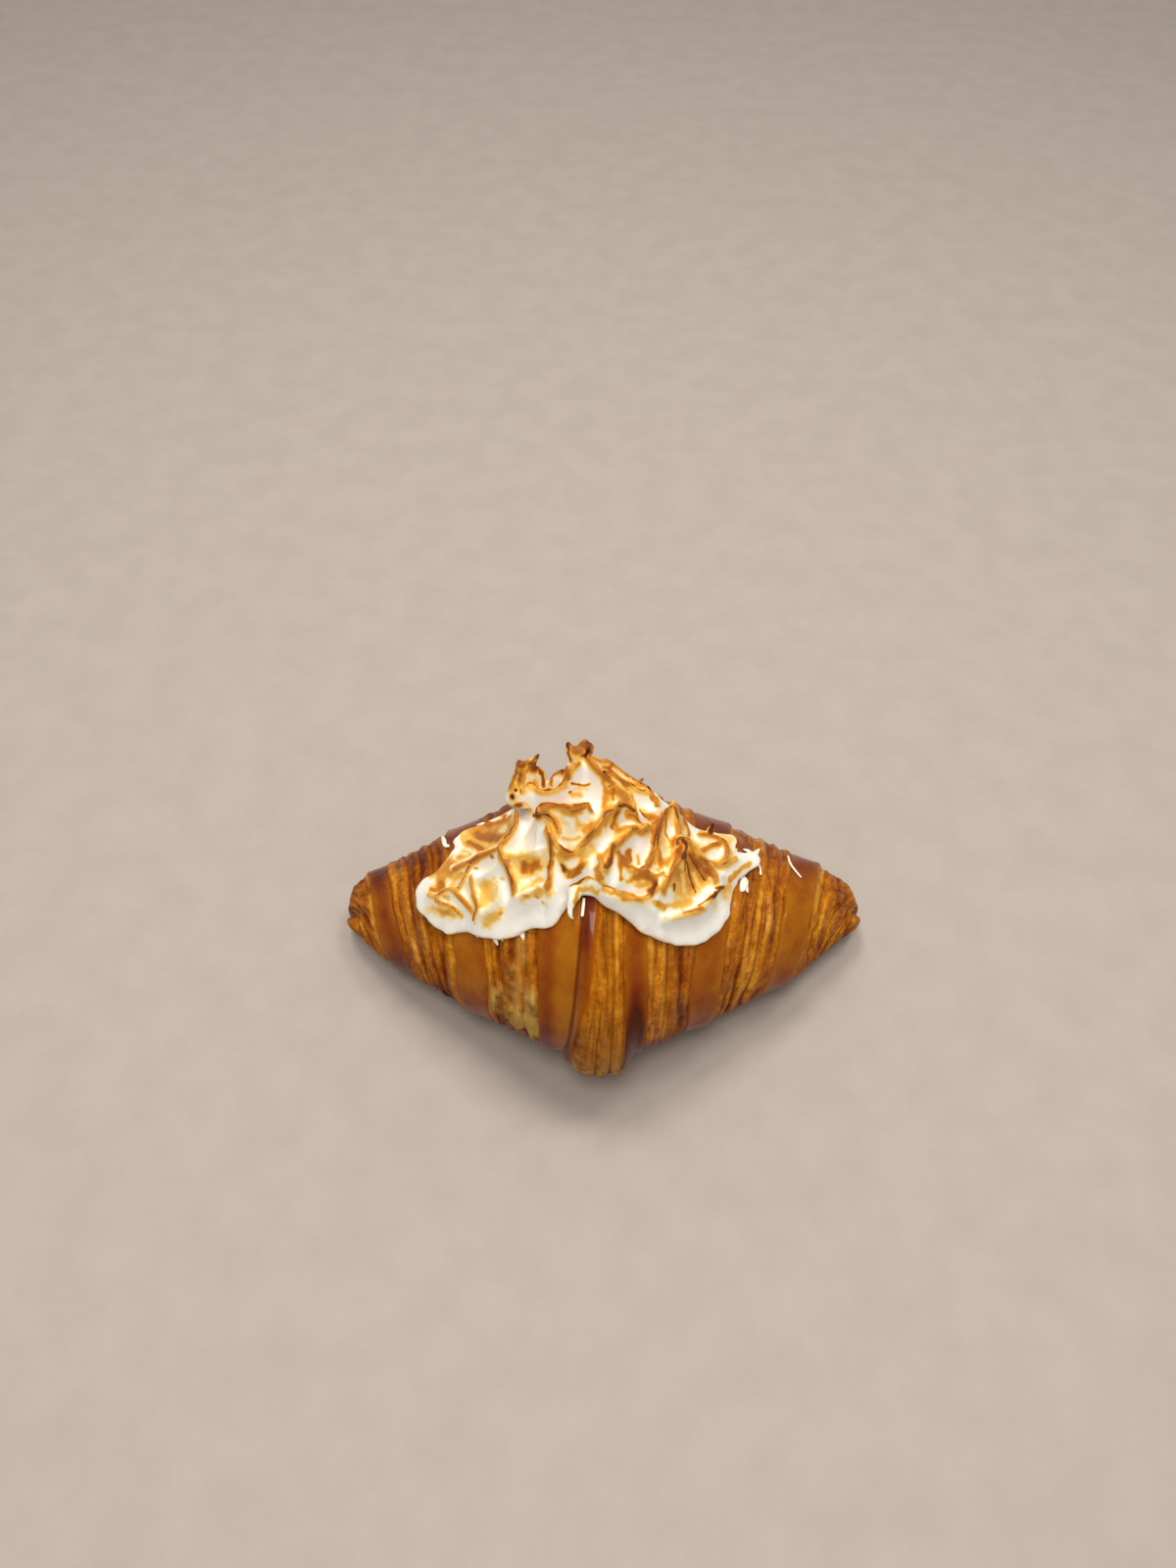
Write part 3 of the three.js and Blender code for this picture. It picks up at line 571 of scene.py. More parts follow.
def crust_colours(f):
    """Feeds the colour, gloss and small relief of the baked, egg-washed dough, with painted shade and
    sheen.
    """
    winding, place = f.named("winding", output=1), f.places()
    panel, seam_shade, pale = f.named("panel"), f.named("seam_shade"), f.named("pale")
    dark, light, bubbly = f.named("dark"), f.named("light"), f.named("bubbly")
    bands = f.noise(f.scaled(winding, BANDS), 1.0, detail=1.0)
    streaks = f.noise(f.scaled(winding, STREAKS), 1.0, detail=4.0, roughness=0.6)
    fibres = f.noise(f.scaled(winding, FIBRES), 1.0, detail=3.0, roughness=0.6)
    mottle = f.noise(place, MOTTLE, detail=4.0)
    flecks = f.noise(place, FLECKS, detail=3.0, roughness=0.65)
    specks = f.noise(place, SPECKS, detail=2.0)

    glazed = (dark + (mottle - 0.5) * 0.9 + (streaks - 0.5) * 0.35).clamped().ramp(GLAZE_COLOURS)
    tone = LAYER_TONE + (specks - 0.5) * 0.40 + f.named("threads") * 0.28 + light * 0.26 - dark * 0.28
    for pattern, share in ((bands, 1.0), (streaks, 0.40), (fibres, 0.22), (mottle, 0.55), (flecks, 0.60)):
        tone = tone + (pattern - 0.5) * share
    colour = panel.mix(tone.clamped().ramp(LAYER_COLOURS), glazed)
    dough = (mottle + (flecks - 0.5) * 0.6).step(0.32, 0.54).mix(paint(*DULL_DOUGH), paint(*PALE_DOUGH))
    colour = (pale * (1.0 + (mottle - 0.5) * 0.6)).mix(colour, dough)
    # The seams take a brown that is partly the darker bake of the grooves and partly painted shade in them.
    colour = (seam_shade.step(0.14, 0.95) * 0.7).mix(colour, paint(*SEAM_SHADE_BROWN))
    height = place.node("ShaderNodeSeparateXYZ", {}, {0: place}, output=2)
    # Near the floor the colour is mixed towards a painted reflection of the floor.
    colour = (height.step(0.014, 0.0) * 0.4).mix(colour, paint(*FLOOR_SHEEN))

    rough = 0.48 - panel * 0.15 + pale * 0.15 + seam_shade * 0.15 + (mottle - 0.5) * 0.15
    lip = panel * (1 - panel) * 4
    near_floor = height.step(0.03, 0.0)
    coat = 0.35 + panel * 0.3 - pale * 0.25 - seam_shade * 0.35 - lip * 0.6 - near_floor * 0.4 + bubbly * 0.4
    bubbles = f.cells(place, BUBBLES).step(0.55, 0.1) * bubbly
    lines = (1 - panel) * (fibres * 0.6 + streaks * 0.4 + flecks * 0.6)
    skin = f.bump(specks * 0.15 + mottle * 0.25, 0.35, 0.0006)
    relief = f.bump(lines + bubbles * 0.8, 0.45, 0.0005, below=skin)
    looks = {"Base Color": colour, "Roughness": rough, "Coat Weight": coat.clamped(), "Normal": relief}
    feed(f, crust_shader, looks)


crust_colours(crust_finish)
croissant.data.materials.append(crust_material)

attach(croissant, "root")
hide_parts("croissant")

# ---- The meringue ----
# Egg white whipped stiff with sugar and spread over the top with a palette knife. That leaves a thick round
# rim, hollows, and thin crests where the knife is pulled away. A blowtorch then browns the crests and the
# flanks that face it. It holds by its own stickiness.
SPREAD_STEP = 0.42
EDGE = [
    (-56.5, 5.5), (-58, -0.5), (-53, -7.5), (-48, -12), (-41, -14.5), (-35, -18), (-28, -20.5),
    (-21, -20.5), (-15, -22), (-11.5, -18.5), (-5, -16.5), (0, -19), (4.5, -20), (10, -22.5), (18, -23),
    (25, -21), (31, -17.5), (36, -11), (38, -3), (40.3, 2.0), (43.4, 6.0), (47.0, 9.8), (48.0, 12.0),
    (46.6, 13.8), (43.2, 12.4), (40.4, 11.6), (39.8, 14.0), (40.8, 18.6), (34, 17.0), (26, 17), (19, 23),
    (14, 29), (6, 33), (-3, 35), (-13, 34), (-21, 28.5), (-28, 22.8), (-36, 22.2), (-43, 21.8), (-46.8, 19),
    (-46.6, 14), (-49.3, 9.8), (-52, 6.8),
]
EDGE_TRIM, EDGE_SNAP = 0.2, 0.9  # how far out the grid is kept, and how far in it is drawn to the edge
RIM_WIDTH, FLOOR_DEPTH = 6.0, 4.0
HEAP_X, HEAP_Y, HEAP_SPREAD, HEAP_RISE = -8.0, 6.0, 17.0, 6.0
SMEAR_X, SMEAR_Y, SMEAR_SPREAD, SMEAR_THINNING = -39.0, 18.0, 10.5, 0.82
RIM_LIFT, RIM_BULGE = 1.6, 0.9  # the rim is widest this far above the crust, and this far outside the edge
BORDER = 3.0  # the width of the border in which crests fade out and the rim bulges
# The rim's side goes down in levels: how much of the bulge, and of the way down, each has.
LEVEL_BULGES, LEVEL_DROPS = np.array([1.0, 0.6, -0.5, -1.8]), np.array([0.0, 0.55, 0.95, 1.0])
SOFT_FLANK, STEEP_FLANK, BLEND = 4.2, 1.7, 4.0
CREST_ROUND = 0.55  # the radius of a crest's edge
UNDERCUT, UNDERCUT_WIDTH = 0.35, 1.8  # how far a steep flank is drawn in below its crest, and where most
FLOOR_UNEVEN, LIFT_UNEVEN, BULGE_UNEVEN = (0.18, 8, 8, 21), (0.4, 7, 7, 22), (0.5, 2.6, 2.6, 23)
BROAD_UNEVEN, FINE_UNEVEN = (0.35, 5, 5, 24), (0.10, 1.9, 1.9, 25)
VOXEL = 0.42
SKIN_SOFTENING = 4  # times that the skin is smoothed
INSIDE_CRUST = 2.0  # how far the meringue's underside reaches into the crust
HIDDEN_SHARE, HIDDEN_FACES = 0.55, 0.08  # below this share of that depth, this share of the faces is kept

# Where crests, horns and torched patches are given as the photo shows them, x and y are in its pixels, from
# its top left corner. The sight through such a point ends at a depth of meringue, or at a plane of equal y.
PICTURE_SIZE = np.array([1200.0, 1600.0])
PICTURE_MIDDLE = PICTURE_SIZE / 2
PICTURE_FOCUS = LENS / SENSOR * PICTURE_SIZE[1]
NEAREST_SEEN, FARTHEST_SEEN, SIGHT_STEP = 300, 480, 0.25  # millimetres ahead of the eye
AHEAD = np.array([0, cos(radians(LOOKS_DOWN)), -sin(radians(LOOKS_DOWN))])
UPRIGHT = np.array([0, sin(radians(LOOKS_DOWN)), cos(radians(LOOKS_DOWN))])

# Each crest: the side of its long flank (1 left of its run, -1 right, 0 neither), the width of its flanks,
# how wide its edge was torched, in pixels, and its run: x and y in the photo and the depth of meringue.
CRESTS = [
    (1, 0.8, 2.0, [(463, 886, 9), (472, 881, 10), (482, 878, 11.5), (491, 872, 13), (500, 867, 14),
        (508, 862, 15), (515, 855, 15.5), (521, 848, 15.5), (526, 838, 16), (527, 826, 17)]),
    (1, 0.7, 2.0, [(509, 864, 15), (511, 873, 14), (515, 881, 13), (519, 890, 12), (522, 900, 10.5),
        (524, 910, 9)]),
    (-1, 0.6, 0.0, [(510, 869, 14), (520, 872, 13), (530, 872, 13), (539, 868, 13.5), (549, 866, 13),
        (558, 865, 12.5)]),
    (1, 0.7, 2.0, [(558, 844, 17), (561, 855, 15.5), (562, 867, 14), (561, 880, 13), (560, 892, 12),
        (559, 905, 10)]),
    (-1, 0.7, 3.0, [(558, 844, 17), (563, 853, 16), (569, 860, 15.5), (576, 866, 15), (584, 869, 14),
        (593, 866, 13.5)]),
    (-1, 0.9, 2.0, [(547, 830, 20), (548, 824, 21), (553, 820, 21.5), (562, 820, 21), (572, 821, 21),
        (582, 821, 21), (592, 820, 21), (599, 819, 20.5), (604, 824, 19)]),
    (1, 0.5, 1.6, [(547, 831, 19.5), (556, 831, 18.5), (562, 834, 17.5), (567, 840, 16.5),
        (570, 847, 15.5)]),
    (-1, 1.0, 3.0, [(632, 821, 20), (626, 825, 19.5), (619, 830, 19), (612, 839, 18), (605, 848, 17),
        (598, 856, 15.5), (591, 863, 14)]),
    (-1, 0.8, 1.8, [(533, 804, 19), (543, 799, 20), (547, 803, 20.5), (553, 806, 20.5), (560, 806, 20.5),
        (568, 804, 21), (574, 799, 22), (578, 790, 24), (590, 776, 26)]),
    (-1, 1.0, 3.0, [(601, 771, 26), (608, 780, 25), (615, 787, 23.5), (622, 793, 22), (630, 800, 20.5),
        (638, 806, 19), (645, 812, 18), (648, 820, 17), (649, 829, 15.5)]),
    (1, 0.5, 1.6, [(632, 821, 20), (637, 819, 19.5), (643, 823, 18), (649, 829, 16)]),
    (1, 0.5, 2.0, [(632, 823, 19), (628, 832, 17.5), (627, 840, 16), (631, 846, 14.5), (640, 845, 14),
        (648, 844, 14.5)]),
    (-1, 0.4, 1.4, [(640, 831, 15.5), (646, 832, 15.5), (651, 837, 15), (656, 841, 14.5),
        (662, 843, 14.5)]),
    (-1, 0.8, 2.4, [(660, 845, 14.5), (655, 847, 14.5), (648, 845, 15), (640, 851, 15), (633, 857, 15),
        (627, 862, 15), (624, 871, 14), (622, 880, 13), (619, 886, 12)]),
    (0, 0.7, 0.0, [(627, 862, 15), (631, 872, 13.5), (634, 884, 12), (634, 898, 10.5)]),
    (0, 0.9, 1.5, [(604, 769, 16), (612, 773, 15.5), (621, 776, 15), (630, 781, 14), (640, 789, 12.5),
        (652, 798, 11.5), (663, 803, 10.5)]),
    (-1, 0.7, 2.0, [(617, 784, 18), (626, 788, 16.5), (635, 794, 15), (643, 799, 14), (650, 804, 13),
        (660, 807, 12)]),
    (0, 0.6, 0.0, [(663, 804, 10), (669, 811, 10.5), (672, 820, 10.5), (664, 828, 11), (655, 829, 12)]),
    (-1, 0.9, 2.2, [(656, 846, 14), (666, 841, 14), (674, 833, 14.5), (680, 826, 15), (686, 822, 15)]),
    (1, 0.9, 2.6, [(686, 822, 15), (678, 831, 14.5), (672, 842, 14), (669, 853, 13.5), (667, 866, 13),
        (663, 877, 12), (656, 885, 11.5), (645, 886, 11.5), (635, 878, 12)]),
    (1, 0.4, 2.0, [(680, 829, 14.5), (675, 839, 14), (672, 850, 14), (671, 862, 13.5), (673, 871, 13),
        (675, 879, 12)]),
    (0, 0.7, 2.0, [(687, 822, 15), (690, 829, 15), (692, 840, 14), (694, 850, 14)]),
    (0, 0.7, 2.4, [(693, 857, 16), (699, 862, 17), (698, 869, 16.5), (694, 876, 16), (689, 884, 15.5),
        (685, 893, 14.5), (681, 900, 13.5), (678, 908, 11.5)]),
    (1, 0.9, 2.2, [(697, 854, 16), (703, 855, 16), (707, 861, 15.5), (710, 868, 14.5), (715, 875, 13.5),
        (722, 880, 12.5), (729, 889, 11.5), (731, 898, 10)]),
    (0, 0.35, 1.6, [(714, 849, 9), (726, 850, 9), (736, 854, 9), (742, 861, 9), (742, 870, 9.5),
        (737, 878, 9.5), (729, 880, 9.5), (721, 878, 10), (715, 873, 11)]),
    (0, 0.4, 1.4, [(716, 868, 8.5), (721, 864, 8.5), (727, 861, 8), (734, 860, 7.5)]),
    (-1, 0.5, 2.0, [(729, 883, 9.5), (738, 882, 9), (745, 878, 8.5), (752, 874, 7.5)]),
    (0, 0.6, 0.0, [(733, 893, 9), (742, 892, 9), (752, 885, 8.5), (762, 879, 7.5), (772, 880, 5.5)]),
    (1, 0.5, 0.0, [(680, 938, 8.5), (690, 936, 9), (701, 933, 9.5), (710, 930, 10), (718, 925, 10),
        (725, 919, 10), (730, 912, 9.5), (738, 905, 8.5)]),
    (1, 0.8, 0.0, [(672, 918, 9.5), (673, 908, 11), (675, 898, 12), (680, 888, 12.5), (688, 876, 13)]),
    (-1, 0.5, 1.4, [(659, 888, 11.5), (667, 892, 11.5), (675, 892, 11.5)]),
    (-1, 0.5, 2.0, [(582, 904, 11), (590, 900, 12), (600, 895, 12.5), (607, 897, 12)]),
    (0, 0.45, 0.0, [(585, 907, 9.5), (594, 903, 10), (603, 901, 10.5), (611, 905, 10), (620, 909, 9)]),
    (-1, 0.8, 1.6, [(616, 903, 11), (626, 907, 11), (640, 911, 11), (652, 915, 11), (661, 913, 11),
        (670, 906, 11.5)]),
    (0, 0.5, 0.0, [(612, 872, 13.5), (614, 884, 12.5), (613, 896, 11.5), (618, 905, 10.5)]),
    (-1, 0.6, 0.0, [(580, 896, 12), (585, 888, 13), (591, 880, 13.5)]),
    (0, 0.6, 0.9, [(437, 912, 7), (443, 914, 8), (449, 911, 9), (455, 907, 9.5), (460, 906, 10),
        (465, 911, 9.5), (471, 917, 9), (477, 924, 8.5), (481, 931, 7.5)]),
    (-1, 0.4, 0.6, [(444, 918, 8), (449, 921, 8), (456, 923, 8), (463, 927, 7.5), (470, 935, 6.5)]),
    (-1, 0.7, 1.0, [(487, 876, 12), (480, 881, 11.5), (476, 889, 11), (472, 897, 10.5), (467, 906, 9.5)]),
    (1, 0.7, 0.7, [(480, 894, 11), (481, 903, 10.5), (483, 914, 10), (486, 925, 9), (484, 933, 8.5),
        (483, 940, 7)]),
    (0, 0.6, 0.0, [(509, 903, 10), (508, 915, 9.5), (501, 925, 9), (492, 931, 8.5), (485, 931, 8.5)]),
    (0, 0.6, 0.0, [(523, 915, 9), (533, 912, 10), (545, 906, 11), (557, 900, 11)]),
    (-1, 0.5, 0.0, [(482, 896, 10.5), (492, 892, 11.5), (502, 884, 12.5), (508, 874, 14)]),
]
# Each horn: how thin it is against its width, the way its flat side faces in degrees, and its run: x and y
# in the photo, y in space and half width.
HORNS = [
    (0.55, -10, [(533, 822, 10, 5.5), (534, 808, 11.5, 4.6), (535, 795, 13.5, 3.6), (537, 785, 14.5, 2.8),
        (543, 777, 15.2, 1.5), (551, 769, 15.5, 0.3)]),
    (0.35, 20, [(549, 812, 12, 3.2), (549, 800, 13.5, 2.9), (549, 790, 14.5, 2.0), (545, 781, 15, 0.6)]),
    (1.0, 0, [(530, 789, 13.5, 1.2), (530, 782, 14, 1.1), (532, 777, 14.5, 1.25)]),
    (0.6, -20, [(526, 822, 11, 2.6), (524, 812, 12, 2.2), (526, 802, 13, 1.2)]),
    (0.35, -15, [(568, 812, 12, 3.0), (568, 800, 13, 2.4), (571, 791, 14, 1.7), (577, 784, 14.5, 0.6)]),
    (0.75, 0, [(597, 826, 8, 7.5), (594, 805, 10.5, 6.3), (592, 787, 12, 4.6), (590, 776, 13.3, 3.2),
        (589, 768, 14, 2.6), (589, 762, 14.5, 2.2)]),
    (0.6, 0, [(586, 776, 13.5, 2.2), (583, 767, 14.5, 1.6), (581, 761, 15.3, 1.2),
        (579.5, 755.5, 15.8, 0.5)]),
    (0.6, 0, [(594, 780, 13, 2.4), (596, 771, 13.8, 1.9), (599, 764, 14.7, 2.1), (600, 758.5, 15.1, 1.5)]),
    (0.6, 0, [(593, 771, 14.0, 1.2), (592, 763, 14.9, 1.1), (595, 757, 15.5, 0.8),
        (601, 756.5, 15.4, 0.6)]),
    (1.0, 0, [(694, 876, -1.2, 1.7), (699, 867, 0.2, 1.1), (698, 860, 0.8, 1.0), (695, 855, 1.2, 0.9),
        (691, 857, 1.0, 0.75), (692, 861, 0.6, 0.6)]),
    (0.6, 0, [(560, 826, 1.5, 2.0), (553, 827, 1.0, 1.4), (546, 832, 0.5, 0.4)]),
    (0.7, 0, [(590, 902, -15, 3.2), (586, 915, -18.6, 1.8), (582, 926, -21, 1.0), (582, 934, -22.6, 0.8),
        (586, 939, -23.4, 0.4)]),
    (0.8, 0, [(724, 851, 14, 1.4), (725, 846, 15, 0.9), (728, 840, 15.5, 0.35)]),
    (0.8, 0, [(650, 801, 22, 1.0), (653, 797, 22.5, 0.6), (657, 794, 22.8, 0.3)]),
]
HORN_SIDES, HORN_RINGS = 26, 40
HORN_TIP, HORN_FOOT = 0.1, 0.05  # the shares of a horn's length in which it closes at its two ends

# How the torch coloured it, from untouched to burnt.
WHITE, CREAM, PALE, GOLD, AMBER, BROWN, DARK, BURNT = 0.0, 0.18, 0.34, 0.48, 0.60, 0.72, 0.86, 1.0
# Each patch, in the order in which they are laid: its colour, half width in pixels and run in the photo.
PATCHES = [
    # the thin smear at the left back, with the marks of the knife
    (AMBER, 13, [(474, 860), (490, 857), (505, 856)]), (AMBER, 6, [(468, 876), (480, 872)]),
    (GOLD, 8, [(470, 858), (484, 847), (500, 842)]), (AMBER, 9, [(486, 850), (504, 845), (518, 838)]),
    (BROWN, 4, [(498, 842), (512, 838), (521, 832)]), (BROWN, 3, [(488, 852), (500, 858)]),
    (CREAM, 1.8, [(472, 864), (481, 868), (488, 873)]), (GOLD, 1.6, [(476, 853), (488, 859), (498, 867)]),
    (BROWN, 2.2, [(478, 859), (486, 863), (494, 868)]),
    (WHITE, 4, [(466, 850), (466, 860), (467, 868), (461, 873)]), (BROWN, 4, [(498, 852), (506, 856)]),
    (CREAM, 2, [(470, 880), (478, 876)]), (AMBER, 6, [(440, 893), (450, 884), (460, 874)]),
    (CREAM, 1.8, [(441, 890), (450, 881), (460, 872)]),
    # the left lobe
    (AMBER, 9, [(446, 905), (452, 893), (461, 884)]), (AMBER, 8, [(462, 901), (470, 890)]),
    (BROWN, 4, [(440, 909), (447, 908), (452, 904)]),
    (WHITE, 8, [(430, 898), (428, 915), (433, 931), (441, 938)]),
    (WHITE, 5, [(447, 916), (460, 919), (471, 931)]), (AMBER, 7, [(442, 926), (452, 931), (461, 934)]),
    (GOLD, 3, [(454, 914), (457, 916)]), (WHITE, 8, [(450, 945), (470, 945), (490, 949), (515, 949)]),
    (CREAM, 6, [(478, 892), (475, 905), (479, 918), (483, 927)]), (GOLD, 10, [(495, 904), (493, 919)]),
    (AMBER, 3, [(482, 903), (484, 914), (488, 926)]), (GOLD, 7, [(504, 903), (500, 913)]),
    (CREAM, 2.4, [(509, 903), (508, 915), (500, 925), (490, 931)]), (GOLD, 9, [(496, 939), (506, 935)]),
    (WHITE, 7, [(484, 893), (495, 889), (503, 882)]), (WHITE, 4, [(466, 886), (477, 884)]),
    (WHITE, 4.5, [(493, 877), (501, 871), (505, 867)]), (BROWN, 2, [(502, 873), (503, 875)]),
    (AMBER, 2, [(484, 886), (487, 886)]), (AMBER, 2, [(510, 932), (511, 932)]),
    (WHITE, 6, [(511, 885), (515, 900), (518, 914)]), (GOLD, 1.6, [(512, 896), (513, 897)]),
    (BROWN, 1.6, [(484, 931), (483, 939)]),
    # left of the middle
    (AMBER, 13, [(533, 884), (548, 885)]), (BROWN, 8, [(530, 882), (543, 884)]),
    (BROWN, 4, [(517, 877), (522, 890), (525, 900)]), (GOLD, 3, [(514, 873), (530, 874), (546, 872)]),
    (PALE, 5, [(525, 880), (528, 895), (532, 905)]), (GOLD, 7, [(534, 908), (552, 898)]),
    (WHITE, 3, [(523, 915), (532, 912), (545, 906), (558, 901)]),
    (GOLD, 7, [(538, 915), (552, 911), (563, 913)]), (AMBER, 2, [(536, 914), (539, 915)]),
    (AMBER, 2, [(546, 915), (549, 916)]), (AMBER, 2, [(553, 920), (557, 925)]),
    (WHITE, 10, [(530, 934), (550, 932), (570, 922)]),
    (BROWN, 3.6, [(561, 852), (563, 866), (562, 880), (560, 893), (559, 904)]),
    (PALE, 4, [(556, 868), (557, 880)]), (AMBER, 8, [(574, 873), (585, 871), (594, 868)]),
    (GOLD, 5, [(572, 878), (577, 887)]), (DARK, 2, [(573, 883), (577, 888)]),
    (WHITE, 8, [(570, 900), (572, 915), (567, 930)]), (WHITE, 13, [(540, 835), (543, 850), (548, 857)]),
    (CREAM, 11, [(574, 846), (585, 852), (592, 860)]), (GOLD, 2, [(575, 856), (584, 857), (591, 854)]),
    (GOLD, 6, [(587, 833), (592, 843), (603, 843)]), (AMBER, 4, [(598, 848), (606, 841)]),
    (WHITE, 4, [(593, 833), (600, 828), (608, 824)]), (BROWN, 1.6, [(592, 865), (597, 862)]),
    (GOLD, 7, [(601, 858), (605, 868), (598, 873)]), (WHITE, 4, [(604, 879), (606, 884)]),
    (BROWN, 6, [(583, 893), (590, 886), (595, 881)]),
    (WHITE, 2.2, [(580, 901), (590, 897), (602, 891), (607, 890)]), (AMBER, 4, [(609, 886), (611, 896)]),
    (AMBER, 3.4, [(613, 873), (614, 885), (614, 897), (619, 904)]),
    (WHITE, 2.6, [(585, 906), (594, 902), (604, 901), (611, 905), (621, 909)]),
    (GOLD, 3, [(594, 908), (602, 907), (609, 910)]), (AMBER, 3, [(590, 906), (588, 914), (586, 921)]),
    (WHITE, 3, [(582, 915), (582, 928), (583, 937)]),
    (AMBER, 4, [(618, 906), (628, 911), (640, 914), (652, 918)]),
    (WHITE, 6, [(621, 890), (622, 899), (632, 905)]),
    # the left horn, the saddle and the tall horn
    (AMBER, 9, [(535, 784), (533, 797), (534, 811)]), (AMBER, 5, [(524, 804), (523, 815)]),
    # The cream stripe from (538, 791) to (541, 810) is a painted highlight down the right side of the left
    # horn.
    (CREAM, 2.4, [(538, 791), (538, 801), (541, 810)]), (BROWN, 1.4, [(531, 788), (530, 800), (532, 810)]),
    (BROWN, 2, [(528, 783), (525, 793), (522, 803)]), (BROWN, 4, [(538, 786), (541, 780)]),
    (BURNT, 4.5, [(542, 780), (546, 775), (551, 769)]), (DARK, 2.5, [(531, 775), (530, 779)]),
    (WHITE, 1.8, [(533, 779), (534, 779)]), (CREAM, 4.5, [(547, 788), (547, 797), (551, 802)]),
    (DARK, 2, [(550, 785), (554, 793), (555, 802)]),
    (GOLD, 5, [(541, 801), (548, 809), (558, 810), (568, 808), (575, 802)]),
    (GOLD, 5, [(525, 805), (524, 814)]), (BURNT, 2, [(526, 806), (527, 807)]),
    (BURNT, 2.4, [(523, 812), (524, 814)]), (WHITE, 8, [(535, 815), (555, 815), (575, 812), (590, 815)]),
    (BROWN, 2, [(563, 801), (563, 794), (570, 788), (576, 785)]), (WHITE, 3, [(570, 795), (567, 801)]),
    (BURNT, 3.4, [(578, 753), (579, 762)]), (DARK, 1.8, [(581, 753), (580, 768), (583, 777)]),
    (PALE, 4.5, [(586, 758), (586, 770), (588, 778)]), (AMBER, 3, [(592, 766), (596, 774), (602, 783)]),
    (BROWN, 9, [(600, 756), (600, 765)]), (DARK, 3.6, [(602, 757), (601, 767)]),
    (GOLD, 1.6, [(592, 760), (592, 768)]), (AMBER, 2.6, [(594, 758), (594, 766)]),
    (BURNT, 3, [(600, 766), (597, 771)]), (BROWN, 4, [(578, 785), (579, 794)]),
    (GOLD, 3.5, [(583, 784), (589, 785)]), (WHITE, 10, [(598, 787), (595, 793)]),
    (DARK, 1.8, [(584, 799), (590, 801), (596, 802), (602, 800)]),
    (PALE, 3, [(586, 805), (597, 805), (605, 805)]), (GOLD, 3, [(583, 811), (592, 812)]),
    (DARK, 1.6, [(582, 808), (583, 808)]), (WHITE, 7, [(609, 803), (609, 818), (604, 829)]),
    (AMBER, 6, [(553, 827), (565, 826), (578, 828), (590, 828)]),
    (BROWN, 3, [(552, 824), (565, 823), (578, 824)]), (WHITE, 1.8, [(584, 824), (592, 824), (600, 823)]),
    (BROWN, 1.4, [(584, 828), (590, 827), (597, 825)]), (PALE, 5, [(568, 834), (575, 841)]),
    # The pale patch from (558, 838) to (563, 846) is painted shade under the dark line of the beak.
    (PALE, 5, [(558, 838), (563, 846)]), (BURNT, 2.2, [(545, 832), (550, 833)]),
    (DARK, 3, [(527, 822), (533, 822)]), (PALE, 4, [(538, 823), (541, 828)]),
    # behind and right of the tall horn
    (GOLD, 3, [(606, 772), (613, 777), (618, 781)]), (CREAM, 3, [(614, 777), (620, 781)]),
    (BROWN, 4.5, [(617, 784), (626, 790), (636, 798), (642, 803)]),
    (BROWN, 6, [(628, 783), (637, 789), (646, 796)]),
    (WHITE, 2, [(626, 785), (632, 789), (638, 794), (645, 798)]),
    (AMBER, 4, [(646, 801), (652, 801), (659, 802)]), (CREAM, 2.2, [(643, 806), (649, 806), (655, 805)]),
    (BURNT, 2.2, [(662, 803), (664, 805)]), (AMBER, 10, [(627, 806), (636, 812)]),
    (BROWN, 1.6, [(620, 803), (627, 799)]), (BROWN, 1.6, [(625, 816), (626, 806)]),
    (DARK, 2.4, [(632, 822), (640, 822), (647, 827)]), (AMBER, 3.5, [(616, 795), (618, 810), (616, 822)]),
    (WHITE, 9, [(656, 815), (668, 824)]), (BROWN, 3, [(665, 808), (668, 815), (670, 822)]),
    (AMBER, 4.5, [(657, 827), (664, 833), (669, 836)]), (DARK, 1.3, [(653, 827), (657, 832), (662, 838)]),
    (WHITE, 8, [(635, 833), (636, 840), (648, 842)]), (WHITE, 4, [(652, 835), (658, 842)]),
    (AMBER, 5, [(622, 835), (616, 845), (608, 855)]), (WHITE, 5, [(618, 852), (614, 865)]),
    (GOLD, 5, [(637, 848), (626, 856)]), (BROWN, 3, [(629, 829), (627, 837), (625, 844)]),
    (AMBER, 3, [(620, 868), (615, 874)]), (DARK, 2.8, [(626, 862), (625, 870), (622, 879), (619, 885)]),
    (BROWN, 3.4, [(630, 868), (633, 880), (634, 897)]), (WHITE, 15, [(645, 857), (653, 866)]),
    (BROWN, 3, [(641, 868), (643, 878)]), (AMBER, 3, [(650, 873), (651, 881)]),
    (BROWN, 2.6, [(632, 870), (640, 882), (650, 886)]),
    # the right lobe
    (BROWN, 3.5, [(679, 829), (671, 842), (668, 855), (666, 868), (661, 879)]),
    (PALE, 5, [(677, 850), (676, 862), (681, 868)]), (WHITE, 5, [(684, 838), (684, 850), (686, 858)]),
    (PALE, 2.5, [(684, 834), (685, 843)]), (BROWN, 1.3, [(680, 835), (679, 848), (682, 856), (687, 861)]),
    (GOLD, 5, [(695, 838), (700, 846)]), (BROWN, 2, [(697, 836), (702, 845), (703, 852)]),
    (WHITE, 7, [(712, 856), (720, 854), (730, 853)]), (GOLD, 16, [(702, 872), (704, 888), (712, 904)]),
    (AMBER, 12, [(701, 868), (706, 881), (714, 893)]), (BROWN, 5, [(704, 868), (712, 880), (720, 889)]),
    (BROWN, 5, [(720, 886), (727, 893), (729, 901)]), (BROWN, 4, [(692, 868), (689, 880), (686, 890)]),
    (AMBER, 9, [(695, 895), (706, 905)]), (GOLD, 7, [(688, 905), (700, 913), (716, 911)]),
